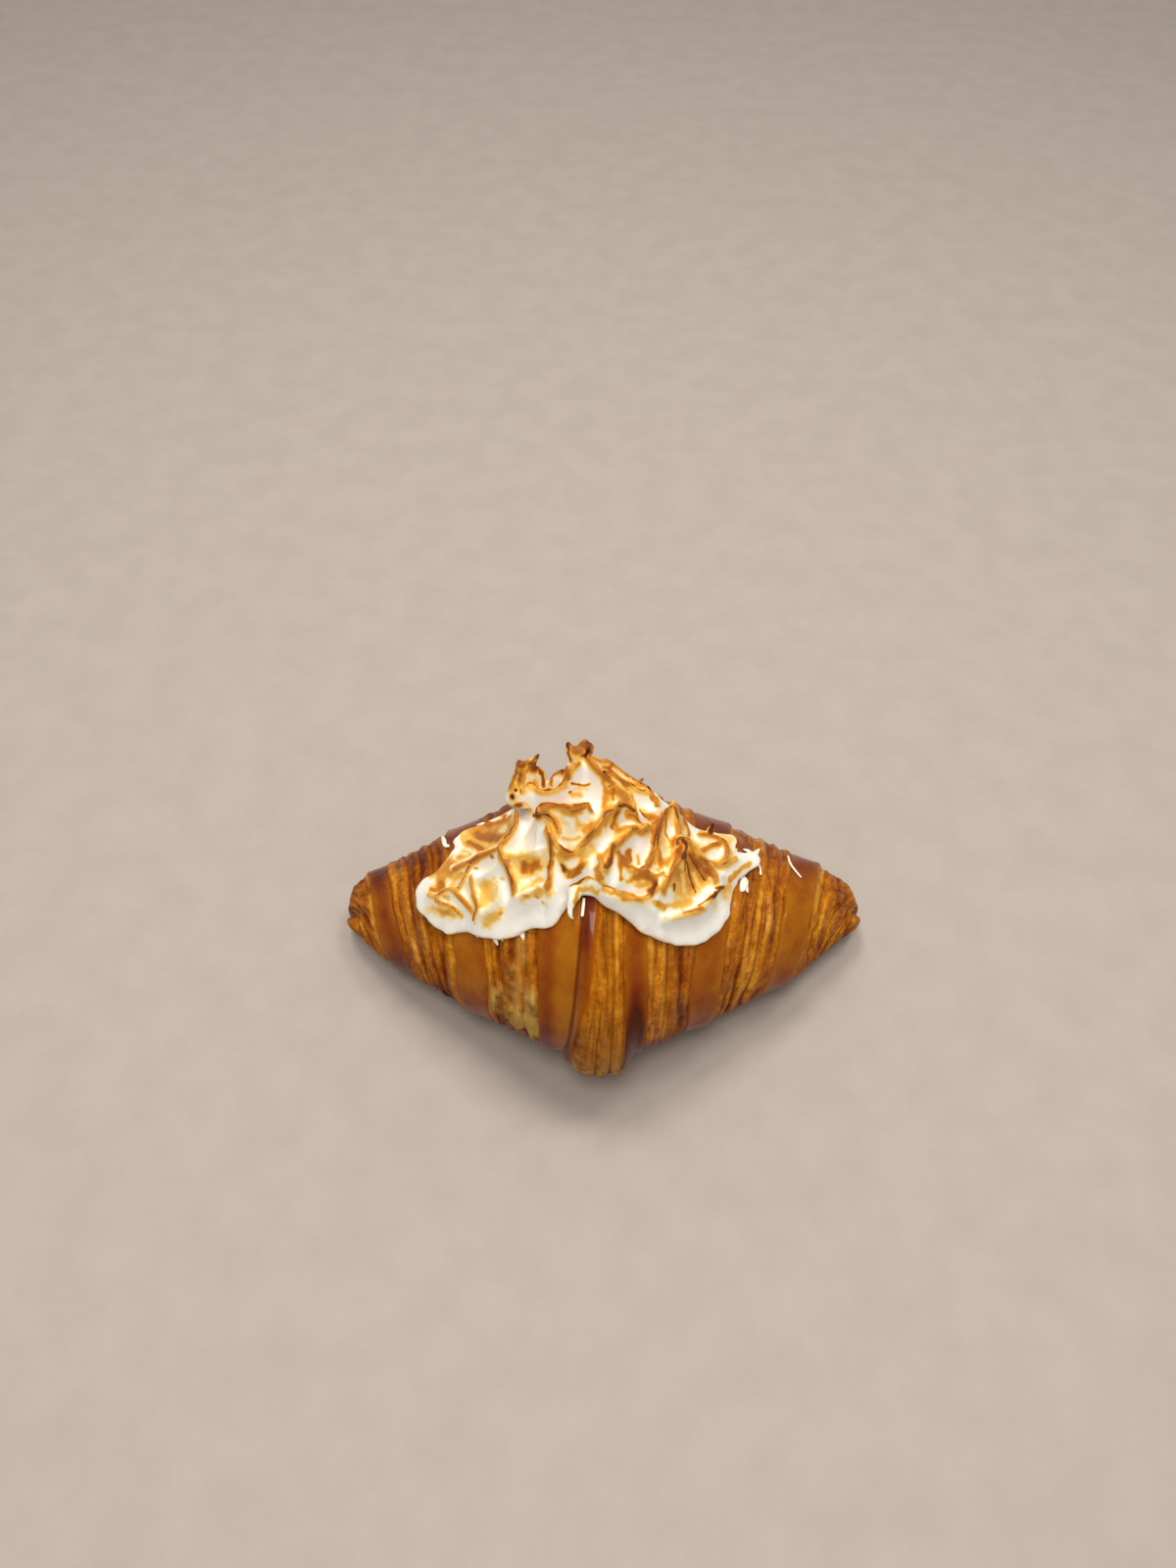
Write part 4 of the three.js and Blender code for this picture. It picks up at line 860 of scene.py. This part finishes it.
    (PALE, 5, [(690, 919), (702, 919)]), (DARK, 1.1, [(701, 880), (704, 896), (710, 911)]),
    (DARK, 1.0, [(700, 872), (699, 888)]), (DARK, 1.0, [(704, 872), (710, 884), (719, 898)]),
    (PALE, 1.8, [(697, 893), (698, 909)]), (PALE, 2, [(708, 892), (713, 904), (721, 912)]),
    (DARK, 2.2, [(697, 876), (700, 866), (699, 859), (695, 855), (691, 857), (691, 861)]),
    (DARK, 1.2, [(688, 902), (688, 909)]), (WHITE, 5, [(714, 915), (722, 909), (730, 907)]),
    (WHITE, 10, [(725, 858), (735, 867), (727, 873)]), (GOLD, 4, [(724, 864), (732, 863)]),
    (BURNT, 3, [(728, 841), (725, 848)]), (WHITE, 7, [(737, 890), (750, 883), (765, 877), (775, 883)]),
    (AMBER, 2.8, [(744, 899), (750, 893), (757, 886), (766, 881)]), (GOLD, 5, [(742, 905), (741, 916)]),
    (BURNT, 2.2, [(731, 906), (738, 905)]), (BURNT, 2.4, [(727, 916), (730, 912)]),
    (GOLD, 4.5, [(688, 938), (702, 934), (718, 928)]), (BROWN, 2.4, [(700, 932), (716, 926)]),
    (DARK, 1.6, [(713, 924), (726, 915), (738, 905)]), (GOLD, 3.6, [(728, 920), (731, 927)]),
    (AMBER, 4.5, [(686, 872), (680, 880), (673, 888)]), (GOLD, 4, [(664, 881), (672, 876)]),
    (BROWN, 9, [(648, 895), (658, 893), (667, 900)]), (GOLD, 4, [(652, 903), (661, 902)]),
    (CREAM, 4, [(652, 911), (660, 908)]), (DARK, 4, [(664, 909), (670, 903)]),
    (WHITE, 3.5, [(677, 889), (676, 902), (672, 912), (670, 919)]), (AMBER, 3.4, [(670, 922), (678, 926)]),
    (GOLD, 4, [(683, 924), (692, 924), (703, 921)]),
    (WHITE, 11, [(658, 937), (680, 948), (700, 949), (722, 944), (737, 928)]),
]
PATCH_WIDER, PATCH_STRENGTH = 1.38, 0.92
BROAD_PATCH, BROAD_FIRMNESS, NARROW_FIRMNESS = 4, 1.1, 1.4  # broad patches have the softer borders
GOLD_HALO, AMBER_HALO, HALO_STRENGTH = 12.0, 5.25, 0.75
WANDER_X, WANDER_Y = (1, 5, 5, 27), (1, 5, 5, 28)
PATCH_WANDER, BORDER_UNEVEN = (0.35, 9, 9, 29), (0.35, 4, 4, 30)
# How far a crest was toasted from its edge, for each pixel that the edge was torched.
WIDE_TOAST, MIDDLE_TOAST, NARROW_TOAST = 4.5, 2.4, 0.6
HIDDEN_BY = 9.0  # a point this far behind the front-most one in its cell of the photo is hidden
CELL, CELL_COLUMN = 3.0, 2000  # the side of such a cell in pixels, and more cells than one column holds
SHOWN_SOFTENING, SHOWN_SPREAD = 24, 1.8
FLATTENING = 5  # times that the neighbours are averaged to find what stands out
HANGING_BEFORE = -2  # horns that end in front of this y hang down, out of the torch's reach


def smooth_curve(points, steps, closed=False):
    """Points along the centripetal Catmull-Rom curve through the given ones."""
    points = np.array(points, float)
    if closed:
        padded = np.vstack([points[-1:], points, points[:2]])
    else:
        padded = np.vstack([2 * points[0] - points[1], points, 2 * points[-1] - points[-2]])
    made = []
    for p0, p1, p2, p3 in zip(padded, padded[1:], padded[2:], padded[3:]):
        gaps = [max(np.linalg.norm(b - a) ** 0.5, 1e-4) for a, b in ((p0, p1), (p1, p2), (p2, p3))]
        slope1 = ((p1 - p0) / gaps[0] - (p2 - p0) / (gaps[0] + gaps[1]) + (p2 - p1) / gaps[1]) * gaps[1]
        slope2 = ((p2 - p1) / gaps[1] - (p3 - p1) / (gaps[1] + gaps[2]) + (p3 - p2) / gaps[2]) * gaps[1]
        t = (np.arange(steps) / steps)[:, None]
        made.append(
            p1 * (2 * t**3 - 3 * t**2 + 1) + slope1 * (t**3 - 2 * t**2 + t)
            + p2 * (3 * t**2 - 2 * t**3) + slope2 * (t**3 - t**2)
        )
    return np.vstack(made if closed else made + [points[-1:]])


def nearest_on(x, y, line):
    """For each point in plan: its distance to the line, the nearest place and its side (1 is left)."""
    best = np.full(x.shape, 1e9)
    near = np.zeros((len(x), line.shape[1]))
    side = np.zeros(x.shape)
    for p, q in zip(line, line[1:]):
        d = q - p
        run = d[0] ** 2 + d[1] ** 2
        share = np.clip(((x - p[0]) * d[0] + (y - p[1]) * d[1]) / max(run, 1e-9), 0, 1)
        off_x, off_y = x - p[0] - share * d[0], y - p[1] - share * d[1]
        distance = np.hypot(off_x, off_y)
        closer = distance < best
        best = np.where(closer, distance, best)
        near[closer] = p + share[closer, None] * d
        side = np.where(closer, np.sign(d[0] * off_y - d[1] * off_x), side)
    return best, near, side


def inside_edge(x, y):
    """How far each point lies inside the meringue's edge, below 0 outside, and the nearest edge point."""
    distance, near, _ = nearest_on(x, y, edge)
    crossings = np.zeros(x.shape)
    for p, q in zip(edge, edge[1:]):
        if p[1] != q[1]:
            spans = (p[1] > y) != (q[1] > y)
            crossings += spans & (x < p[0] + (y - p[1]) / (q[1] - p[1]) * (q[0] - p[0]))
    return np.where(crossings % 2 == 1, distance, -distance), near


def roll_top(x, y):
    """The height of the smooth roll's top over a place in plan."""
    middle, z, half_depth, half_height = section(x)
    across = np.clip((y - middle) / half_depth, -1, 1)
    return z + half_height * np.sqrt(1 - across**2)


def over_crust(points):
    """How high each point is over the smooth roll's top."""
    return points[:, 2] - roll_top(points[:, 0], points[:, 1])


def unit(vectors):
    return vectors / np.linalg.norm(vectors, axis=1)[:, None]


def sight(run):
    """The directions from the eye through points of the photo, each reaching 1 mm ahead."""
    across, down = ((np.array(run, float)[:, :2] - PICTURE_MIDDLE) / PICTURE_FOCUS).T
    return AHEAD + across[:, None] * np.array([1, 0, 0]) - down[:, None] * UPRIGHT


def over_roll(run):
    """Points of the photo, with the depth of meringue seen there, as places in plan with that depth."""
    depth = np.array([point[2] for point in run], float)
    ways = EYE + np.arange(NEAREST_SEEN, FARTHEST_SEEN, SIGHT_STEP)[:, None, None] * sight(run)
    above = ways[..., 2] - roll_top(ways[..., 0], ways[..., 1]) - depth
    met = ways[(above < 0).argmax(axis=0), range(len(run))]
    return np.column_stack([met[:, :2], depth])


def at_plane(run):
    """Points of the photo, with the y in space and the half width there, as places with that half width."""
    ray = sight(run)
    rest = np.array(run, float)[:, 2:]
    return np.column_stack([EYE + ((rest[:, :1] - EYE[1]) / ray[:, 1:2]) * ray, rest[:, 1]])


def in_photo(points):
    """Where each place shows in the photo, in its pixels, and how far ahead of the eye it is."""
    seen = points - EYE
    ahead = seen @ AHEAD
    across, up = seen[:, 0] / ahead, (seen @ UPRIGHT) / ahead
    return PICTURE_MIDDLE[0] + PICTURE_FOCUS * across, PICTURE_MIDDLE[1] - PICTURE_FOCUS * up, ahead


edge = smooth_curve([(*p, 0) for p in EDGE], 8, closed=True)[:, :2]
edge = np.vstack([edge, edge[:1]])
low_corner, high_corner = edge.min(axis=0) - 1.0, edge.max(axis=0) + 1.0
columns, rows = (np.ceil((high_corner - low_corner) / SPREAD_STEP)).astype(int)

select_only()
bpy.ops.mesh.primitive_grid_add(x_subdivisions=int(columns), y_subdivisions=int(rows), size=2)
meringue = bpy.context.object
meringue.name = "torched_meringue"
flat = get_points(meringue)
flat[:, :2] = low_corner + (flat[:, :2] + 1) / 2 * (high_corner - low_corner)
set_points(meringue, flat)


def select_points(piece, chosen):
    """Leaves the piece in edit mode with only those of its vertices selected."""
    bpy.ops.object.mode_set(mode="EDIT")
    bpy.ops.mesh.select_mode(type="VERT")
    bpy.ops.mesh.select_all(action="DESELECT")
    bpy.ops.object.mode_set(mode="OBJECT")
    piece.data.vertices.foreach_set("select", chosen)
    bpy.ops.object.mode_set(mode="EDIT")


outside, _ = inside_edge(flat[:, 0], flat[:, 1])
select_points(meringue, outside < -EDGE_TRIM)
bpy.ops.mesh.delete(type="VERT")
bpy.ops.mesh.select_all(action="SELECT")
# Each step down makes a level of the rim's side, which is known again by its height.
for level in LEVEL_DROPS[1:]:
    bpy.ops.mesh.extrude_region_move(TRANSFORM_OT_translate={"value": (0, 0, -1)})
bpy.ops.object.mode_set(mode="OBJECT")

flat = get_points(meringue)
x, y, level = flat[:, 0], flat[:, 1], np.round(-flat[:, 2]).astype(int)
inside, nearest_edge = inside_edge(x, y)
outward = nearest_edge - np.stack([x, y], axis=1)
outward = outward * np.sign(inside)[:, None] / np.maximum(np.abs(inside), 0.05)[:, None]
outward /= np.maximum(np.hypot(outward[:, 0], outward[:, 1]), 1e-6)[:, None]
edge_x, edge_y = nearest_edge[:, 0], nearest_edge[:, 1]
# The grid's stepped border is drawn on to the edge itself.
snap = smooth((EDGE_SNAP - inside) / 0.5)
x, y = x + (edge_x - x) * snap, y + (edge_y - y) * snap
inside = inside * (1 - snap)
off_border = np.clip(inside / BORDER, 0, 1)

rim = np.sqrt(1 - (1 - np.clip(inside / RIM_WIDTH, 0, 1)) ** 2)
heap = HEAP_RISE * np.exp(-((x - HEAP_X) ** 2 + (y - HEAP_Y) ** 2) / HEAP_SPREAD**2)
smear = SMEAR_THINNING * bell(np.hypot(x - SMEAR_X, y - SMEAR_Y), SMEAR_SPREAD)
thickness = (FLOOR_DEPTH * (1 + uneven(x, y, FLOOR_UNEVEN)) + heap) * (1 - smear)
lift = RIM_LIFT * (1 + uneven(edge_x, edge_y, LIFT_UNEVEN)) * (1 - smear)
floor_depth = lift + (thickness - lift) * rim

crest_sum = np.zeros(x.shape)
slide = np.zeros((len(x), 2))
for soft, width, torched, run in CRESTS:
    distance, near, side = nearest_on(x, y, smooth_curve(over_roll(run), 6))
    on_soft = side == soft
    flank = width * np.where(on_soft, SOFT_FLANK, STEEP_FLANK if soft else 0.5 * (SOFT_FLANK + STEEP_FLANK))
    height = np.maximum(near[:, 2] - floor_depth, 0)
    crest_sum += (height * np.exp((CREST_ROUND - np.hypot(distance, CREST_ROUND)) / flank)) ** BLEND
    away = np.stack([x - near[:, 0], y - near[:, 1]], axis=1) / np.maximum(distance, 1e-3)[:, None]
    reach = UNDERCUT_WIDTH * width
    pull = UNDERCUT * width * smooth(height / 6) * (distance / reach) * np.exp(1 - distance / reach)
    slide -= away * np.where(on_soft | (soft == 0), 0, pull * smooth(distance / 0.8))[:, None]
depth = floor_depth + crest_sum ** (1 / BLEND) * off_border
depth += (uneven(x, y, BROAD_UNEVEN) + uneven(x, y, FINE_UNEVEN)) * off_border

bulge = LEVEL_BULGES[level] * (1 + uneven(edge_x, edge_y, BULGE_UNEVEN))
near_rim = np.clip(1 - inside / BORDER, 0, 1) ** 2
shift = outward * (RIM_BULGE * bulge * near_rim)[:, None] + np.where(level[:, None] == 0, slide, 0)
x2, y2 = x + shift[:, 0], y + shift[:, 1]
top = roll_top(x, y) + depth
side_z = roll_top(x, y) + lift * (1 - LEVEL_DROPS[level])
under = roll_top(x2, y2) - INSIDE_CRUST
z = np.choose(level, [top, side_z, side_z, under])
set_points(meringue, np.stack([x2, y2, z], axis=1) * MM)


def along_line(line, share):
    """The point, and the half width, a share of the way along a horn's middle line."""
    place = np.clip(share, 0, 1) * (len(line) - 1)
    k = np.minimum(place.astype(int), len(line) - 2)
    return line[k] + (place - k)[:, None] * (line[k + 1] - line[k])


def make_horn(line, thinness, front):
    """A rounded, flattened spike along a line of places, each with its half width, facing a direction."""
    horn, way, turn = new_ball(HORN_SIDES, HORN_RINGS)
    middle = along_line(line, way)
    tangent = unit(along_line(line, way + 0.02)[:, :3] - along_line(line, way - 0.02)[:, :3])
    wide = unit(np.cross(tangent, front))
    thin = np.cross(wide, tangent)
    closed = np.sqrt(1 - np.clip((way - (1 - HORN_TIP)) / HORN_TIP, 0, 1) ** 2)
    radius = middle[:, 3] * closed * np.sqrt(np.clip(way / HORN_FOOT, 0, 1))
    across = (radius * np.cos(turn))[:, None] * wide + (radius * thinness * np.sin(turn))[:, None] * thin
    set_points(horn, (middle[:, :3] + across) * MM)
    return horn


horns = []
for thinness, facing, run in HORNS:
    front = np.array([sin(radians(facing)), -cos(radians(facing)), 0])
    horns.append(make_horn(smooth_curve(at_plane(run), 8), thinness, front))

select_only(*horns, meringue)
bpy.ops.object.join()
turn_faces_out(meringue)
remesh = meringue.modifiers.new("one_skin", "REMESH")
remesh.mode = "VOXEL"
remesh.voxel_size = VOXEL * MM
bpy.ops.object.modifier_apply(modifier=remesh.name)
softened = meringue.modifiers.new("softened", "SMOOTH")
softened.factor = 0.5
softened.iterations = SKIN_SOFTENING
bpy.ops.object.modifier_apply(modifier=softened.name)
# The underside lies hidden in the crust, so it needs few faces.
select_points(meringue, over_crust(get_points(meringue) / MM) < -HIDDEN_SHARE * INSIDE_CRUST)
bpy.ops.mesh.decimate(ratio=HIDDEN_FACES)
bpy.ops.object.mode_set(mode="OBJECT")
bpy.ops.object.shade_smooth()

# The knife leaves fine marks along its strokes, most at the back.
skin = get_points(meringue) / MM
at_back = smooth((skin[:, 1] - 10) / 12)
marks = ripple(skin[:, 0] / 2.2 + skin[:, 1] / 6, skin[:, 2] / 14, 34) * (0.1 + 0.5 * at_back)
skin += get_points(meringue, "normal") * (marks * smooth((over_crust(skin) - 2) / 4))[:, None]
set_points(meringue, skin * MM)

# The torch browns what stands out, which is measured as how far a point is outside its neighbours' average.
skin = get_points(meringue) / MM
facing_out = get_points(meringue, "normal")
pairs = np.empty(len(meringue.data.edges) * 2, int)
meringue.data.edges.foreach_get("vertices", pairs)
pairs = pairs.reshape(-1, 2)
ends, others = np.concatenate([pairs, pairs[:, ::-1]]).T
neighbours = np.bincount(ends, minlength=len(skin))


def averaged(values, times):
    """The values with each point's replaced by its neighbours' average, a number of times over."""
    for _ in range(times):
        values = np.bincount(ends, values[others], len(skin)) / neighbours
    return values


flattened = np.stack([averaged(skin[:, k], FLATTENING) for k in range(3)], axis=1)
standing_out = ((skin - flattened) * facing_out).sum(axis=1)
raised = over_crust(skin)
swirl = 0.5 + 0.5 * ripple(skin[:, 0] / 6, skin[:, 1] / 6 + skin[:, 2] / 9, 26)
streaked = 0.5 + 0.5 * ripple(skin[:, 0] / 2.0 + skin[:, 1] / 7, skin[:, 2] / 16, 33)
generic = (0.2 + 1.0 * swirl) * smooth((standing_out - 0.01) / 0.28)
generic += 0.7 * smooth((0.65 * swirl + 0.35 * streaked - 0.42) / 0.25) * smooth((raised - 3) / 7)

# What the photo shows is coloured as in the photo, and the rest by how it stands out.
px, py, ahead = in_photo(skin)
cell = (px // CELL * CELL_COLUMN + py // CELL).astype(int)
cells, which = np.unique(cell, return_inverse=True)
front_most = np.full(len(cells), 1e9)
np.minimum.at(front_most, which, ahead)
turned_to = (facing_out * unit(EYE - skin)).sum(axis=1)
shown = smooth((front_most[which] + HIDDEN_BY - ahead) / 4.0) * smooth((turned_to + 0.3) / 0.3)
shown = np.maximum(shown, np.minimum(SHOWN_SPREAD * averaged(shown, SHOWN_SOFTENING), 1))
toast_and_shading = 0.04 + 0.55 * smooth((standing_out - 0.03) / 0.3)
wander_x, wander_y = uneven(px, py, WANDER_X), uneven(px, py, WANDER_Y)


def cover(toast_and_shading, colour, half_width, run, strength, tapered=False, one_side=0, firm=1.0):
    """The toast with a soft-edged stroke of another colour laid over it along a run in the photo."""
    run = np.array([point[:2] for point in run], float)
    taper = np.sin(np.linspace(0.12, pi - 0.12, len(run))) ** 0.6 if tapered else np.ones(len(run))
    line = smooth_curve(np.column_stack([run, taper]), 4)
    low, high = run.min(axis=0) - half_width - 4, run.max(axis=0) + half_width + 4
    touched = np.flatnonzero((px > low[0]) & (px < high[0]) & (py > low[1]) & (py < high[1]))
    x, y = px[touched], py[touched]
    sway = min(1.2, 0.3 * half_width)
    distance, near, side = nearest_on(x + sway * wander_x[touched], y + sway * wander_y[touched], line)
    widths = half_width * near[:, 2] * (1 + uneven(x, y, BORDER_UNEVEN))
    inward = 1 - distance / widths + uneven(x, y, PATCH_WANDER) * smooth(half_width / 5)
    # In the photo y runs downwards, so a run's left side in plan is on its right there.
    inward = np.where(side * one_side > 0, np.minimum(inward, 1 - distance / 1.6), inward)
    toast_and_shading = toast_and_shading.copy()
    toast_and_shading[touched] += (colour - toast_and_shading[touched]) * strength * smooth(firm * inward)
    return toast_and_shading


for soft, width, torched, run in CRESTS:
    if torched > 1:
        toast_and_shading = cover(toast_and_shading, GOLD, GOLD_HALO + 2 * torched, run, HALO_STRENGTH, True, soft)
        toast_and_shading = cover(toast_and_shading, AMBER, AMBER_HALO + 2 * torched, run, HALO_STRENGTH, True, soft)
for colour, half_width, run in PATCHES:
    firm = BROAD_FIRMNESS if half_width > BROAD_PATCH else NARROW_FIRMNESS
    toast_and_shading = cover(toast_and_shading, colour, half_width * PATCH_WIDER, run, PATCH_STRENGTH, firm=firm)
faded = np.clip(0.66 + 0.60 * ripple(px / 10, py / 10, 31), 0.15, 1)
nothing = np.zeros(len(skin))
for soft, width, torched, run in CRESTS:
    if torched:
        wide = cover(nothing, 1.0, WIDE_TOAST * torched, run, 1.0, True, soft)
        middle = cover(nothing, 1.0, MIDDLE_TOAST * torched, run, 1.0, True, soft)
        narrow = cover(nothing, 1.0, NARROW_TOAST + NARROW_TOAST * torched, run, 1.0, True)
        toast_and_shading = np.maximum(toast_and_shading, (BROWN + 0.06) * wide * faded * smooth((standing_out - 0.02) / 0.25))
        toast_and_shading = np.maximum(toast_and_shading, BROWN * middle * (0.55 + 0.45 * faded))
        toast_and_shading = np.maximum(toast_and_shading, (DARK + 0.10) * narrow * np.minimum(0.25 + faded, 1))
toast_and_shading = generic * (1 - shown) + toast_and_shading * shown

# From any side, the torch has browned the very edge of each crest and the tips of the horns.
for soft, width, torched, run in CRESTS:
    if torched:
        line = smooth_curve(over_roll(run), 4)
        from_middle = np.abs(skin[:, :2] - line[:, :2].mean(axis=0))
        close = np.flatnonzero((from_middle < 30).all(axis=1))
        distance, near, side = nearest_on(skin[close, 0], skin[close, 1], line)
        below = np.abs(skin[close, 2] - roll_top(near[:, 0], near[:, 1]) - near[:, 2])
        off_edge = np.hypot(distance, 0.5 * below)
        browned = smooth(1.5 - off_edge / (0.7 + 0.35 * torched)) * (0.6 + 0.4 * swirl[close])
        warmed = smooth(1.4 - off_edge / (3.0 + torched)) * (0.4 + 0.7 * streaked[close])
        warmed = warmed * (1 - shown[close])
        toast_and_shading[close] = np.maximum(toast_and_shading[close], np.maximum(BROWN * browned, AMBER * warmed))
for thinness, facing, run in HORNS:
    if run[-1][2] > HANGING_BEFORE:
        off_tip = np.linalg.norm(skin - at_plane(run)[-1, :3], axis=1)
        toast_and_shading = np.maximum(toast_and_shading, (0.2 * swirl + 0.78) * smooth(1.4 - off_tip / 3.0) * (1 - 0.1 * shown))
# The toast also holds a patch of painted shade and a painted highlight.
give_attribute(meringue, "toast_and_shading", toast_and_shading)

TOAST_COLOURS = [
    (0.04, 240, 236, 227), (0.2, 242, 224, 176), (0.34, 239, 203, 122), (0.48, 230, 174, 72),
    (0.60, 204, 134, 40), (0.72, 166, 96, 26), (0.86, 100, 48, 14), (1.0, 44, 20, 8),
]
PORE_COLOUR = (120, 66, 26)
CLOUD, GRAIN, PORES = 190.0, 800.0, 210.0  # swells to a metre
meringue_material, meringue_shader, meringue_finish = new_material(
    "torched_egg_white",
    {"Subsurface Weight": 0.12, "Subsurface Scale": 0.001, "Subsurface Radius": (1.0, 0.8, 0.55),
     "Roughness": 0.5, "Specular IOR Level": 0.25},
)


def meringue_colours(f):
    """Feeds white, cream, gold, brown and burnt, from what the torch reached, with a painted shade and
    highlight.
    """
    place, toast_and_shading = f.places(), f.named("toast_and_shading")
    cloud = f.noise(place, CLOUD, detail=4.0, roughness=0.6)
    grain = f.noise(place, GRAIN, detail=3.0)
    heat = (toast_and_shading + (toast_and_shading * (1 - toast_and_shading)) * ((cloud - 0.5) * 0.8 + (grain - 0.5) * 0.5)).clamped()
    pores = f.cells(place, PORES).step(0.10, 0.04)
    colour = (pores * toast_and_shading.step(0.1, 0.3) * 0.8).mix(heat.ramp(TOAST_COLOURS), paint(*PORE_COLOUR))
    relief = f.bump(grain * 0.3 + cloud * 0.5 - pores * 0.5, 0.35, 0.0005)
    feed(f, meringue_shader, {"Base Color": colour, "Normal": relief})


meringue_colours(meringue_finish)
meringue.data.materials.append(meringue_material)
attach(meringue, "root")
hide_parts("meringue")

# ---- The splashes of meringue ----
# Drops and threads of the same egg white that fell from the knife on to the crust round the topping, and
# ragged ends where it was pulled away. They stick where they fell, and the torch left them white.
# Each: x and y in the photo and half width, along its run.
SPLASHES = [
    [(804, 873, 0.4), (807, 882, 0.5), (812, 889, 0.5), (818, 896, 0.45)],
    [(757, 893, 0.4), (759.5, 899, 1.5), (758, 906, 1.2), (756, 910, 0.3)],
    [(762, 900, 0.5), (762, 906, 0.6), (763, 911, 0.3)],
    [(596, 916, 0.35), (595, 926, 0.45), (594, 936, 0.4)],
    [(451, 853, 0.3), (453, 858, 0.8), (455, 863, 0.7), (460, 863, 0.6), (463, 861, 0.3)],
    [(477, 856, 0.7), (470, 855, 0.8), (465, 851, 0.2)],
    [(474, 862, 0.7), (467, 862, 0.7), (463, 865, 0.2)],
    [(468, 868, 0.8), (463, 870, 0.7), (459, 874, 0.2)],
    [(482, 848, 0.7), (480, 846.5, 0.8), (475, 848, 0.2)],
    [(498, 845, 0.7), (492, 841, 0.8), (486, 842, 0.2)],
    [(504, 953, 1.3), (506, 960, 0.8), (508, 965, 0.2)], [(511, 953, 1.0), (513, 961, 0.2)],
    [(531, 948, 1.3), (533, 955, 0.9), (534, 960, 0.2)],
    [(768, 873, 0.9), (764, 869, 0.9), (758, 866.5, 0.2)],
    [(765, 876, 0.9), (771, 871, 0.9), (775, 866, 0.2)],
    [(768, 877, 0.8), (762, 874, 0.7), (758, 872.5, 0.2)],
    [(768, 878, 0.8), (774, 882, 0.5), (776, 888, 0.35), (776, 893, 0.5)],
    [(740, 857, 0.9), (745, 856, 1.1), (749, 854, 0.3)],
    [(746, 873, 0.8), (750, 869, 0.5), (752, 866, 0.2)], [(741, 933, 0.8), (744, 937, 0.2)],
    [(486, 951, 1.4), (488, 957, 0.2)],
]
SPLASH_LIFT, SPLASH_THINNESS, SPLASH_TOAST = 0.35, 0.45, 0.06

drops = []
for run in SPLASHES:
    places = over_roll([(px, py, SPLASH_LIFT) for px, py, half_width in run])
    height = roll_top(places[:, 0], places[:, 1]) + places[:, 2]
    half_widths = [half_width for px, py, half_width in run]
    line = smooth_curve(np.column_stack([places[:, :2], height, half_widths]), 8)
    x, y = line[:, 0].mean(), line[:, 1].mean()
    rises = [roll_top(x + dx, y + dy) - roll_top(x, y) for dx, dy in ((1, 0), (0, 1))]
    drops.append(make_horn(line, SPLASH_THINNESS, np.array([-rises[0], -rises[1], 1.0])))
splashes = drops[0]
splashes.name = "meringue_splashes"
select_only(*drops[1:], splashes)
bpy.ops.object.join()
turn_faces_out(splashes)
bpy.ops.object.shade_smooth()
give_attribute(splashes, "toast_and_shading", np.full(len(splashes.data.vertices), SPLASH_TOAST))
splashes.data.materials.append(meringue_material)
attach(splashes, "root")
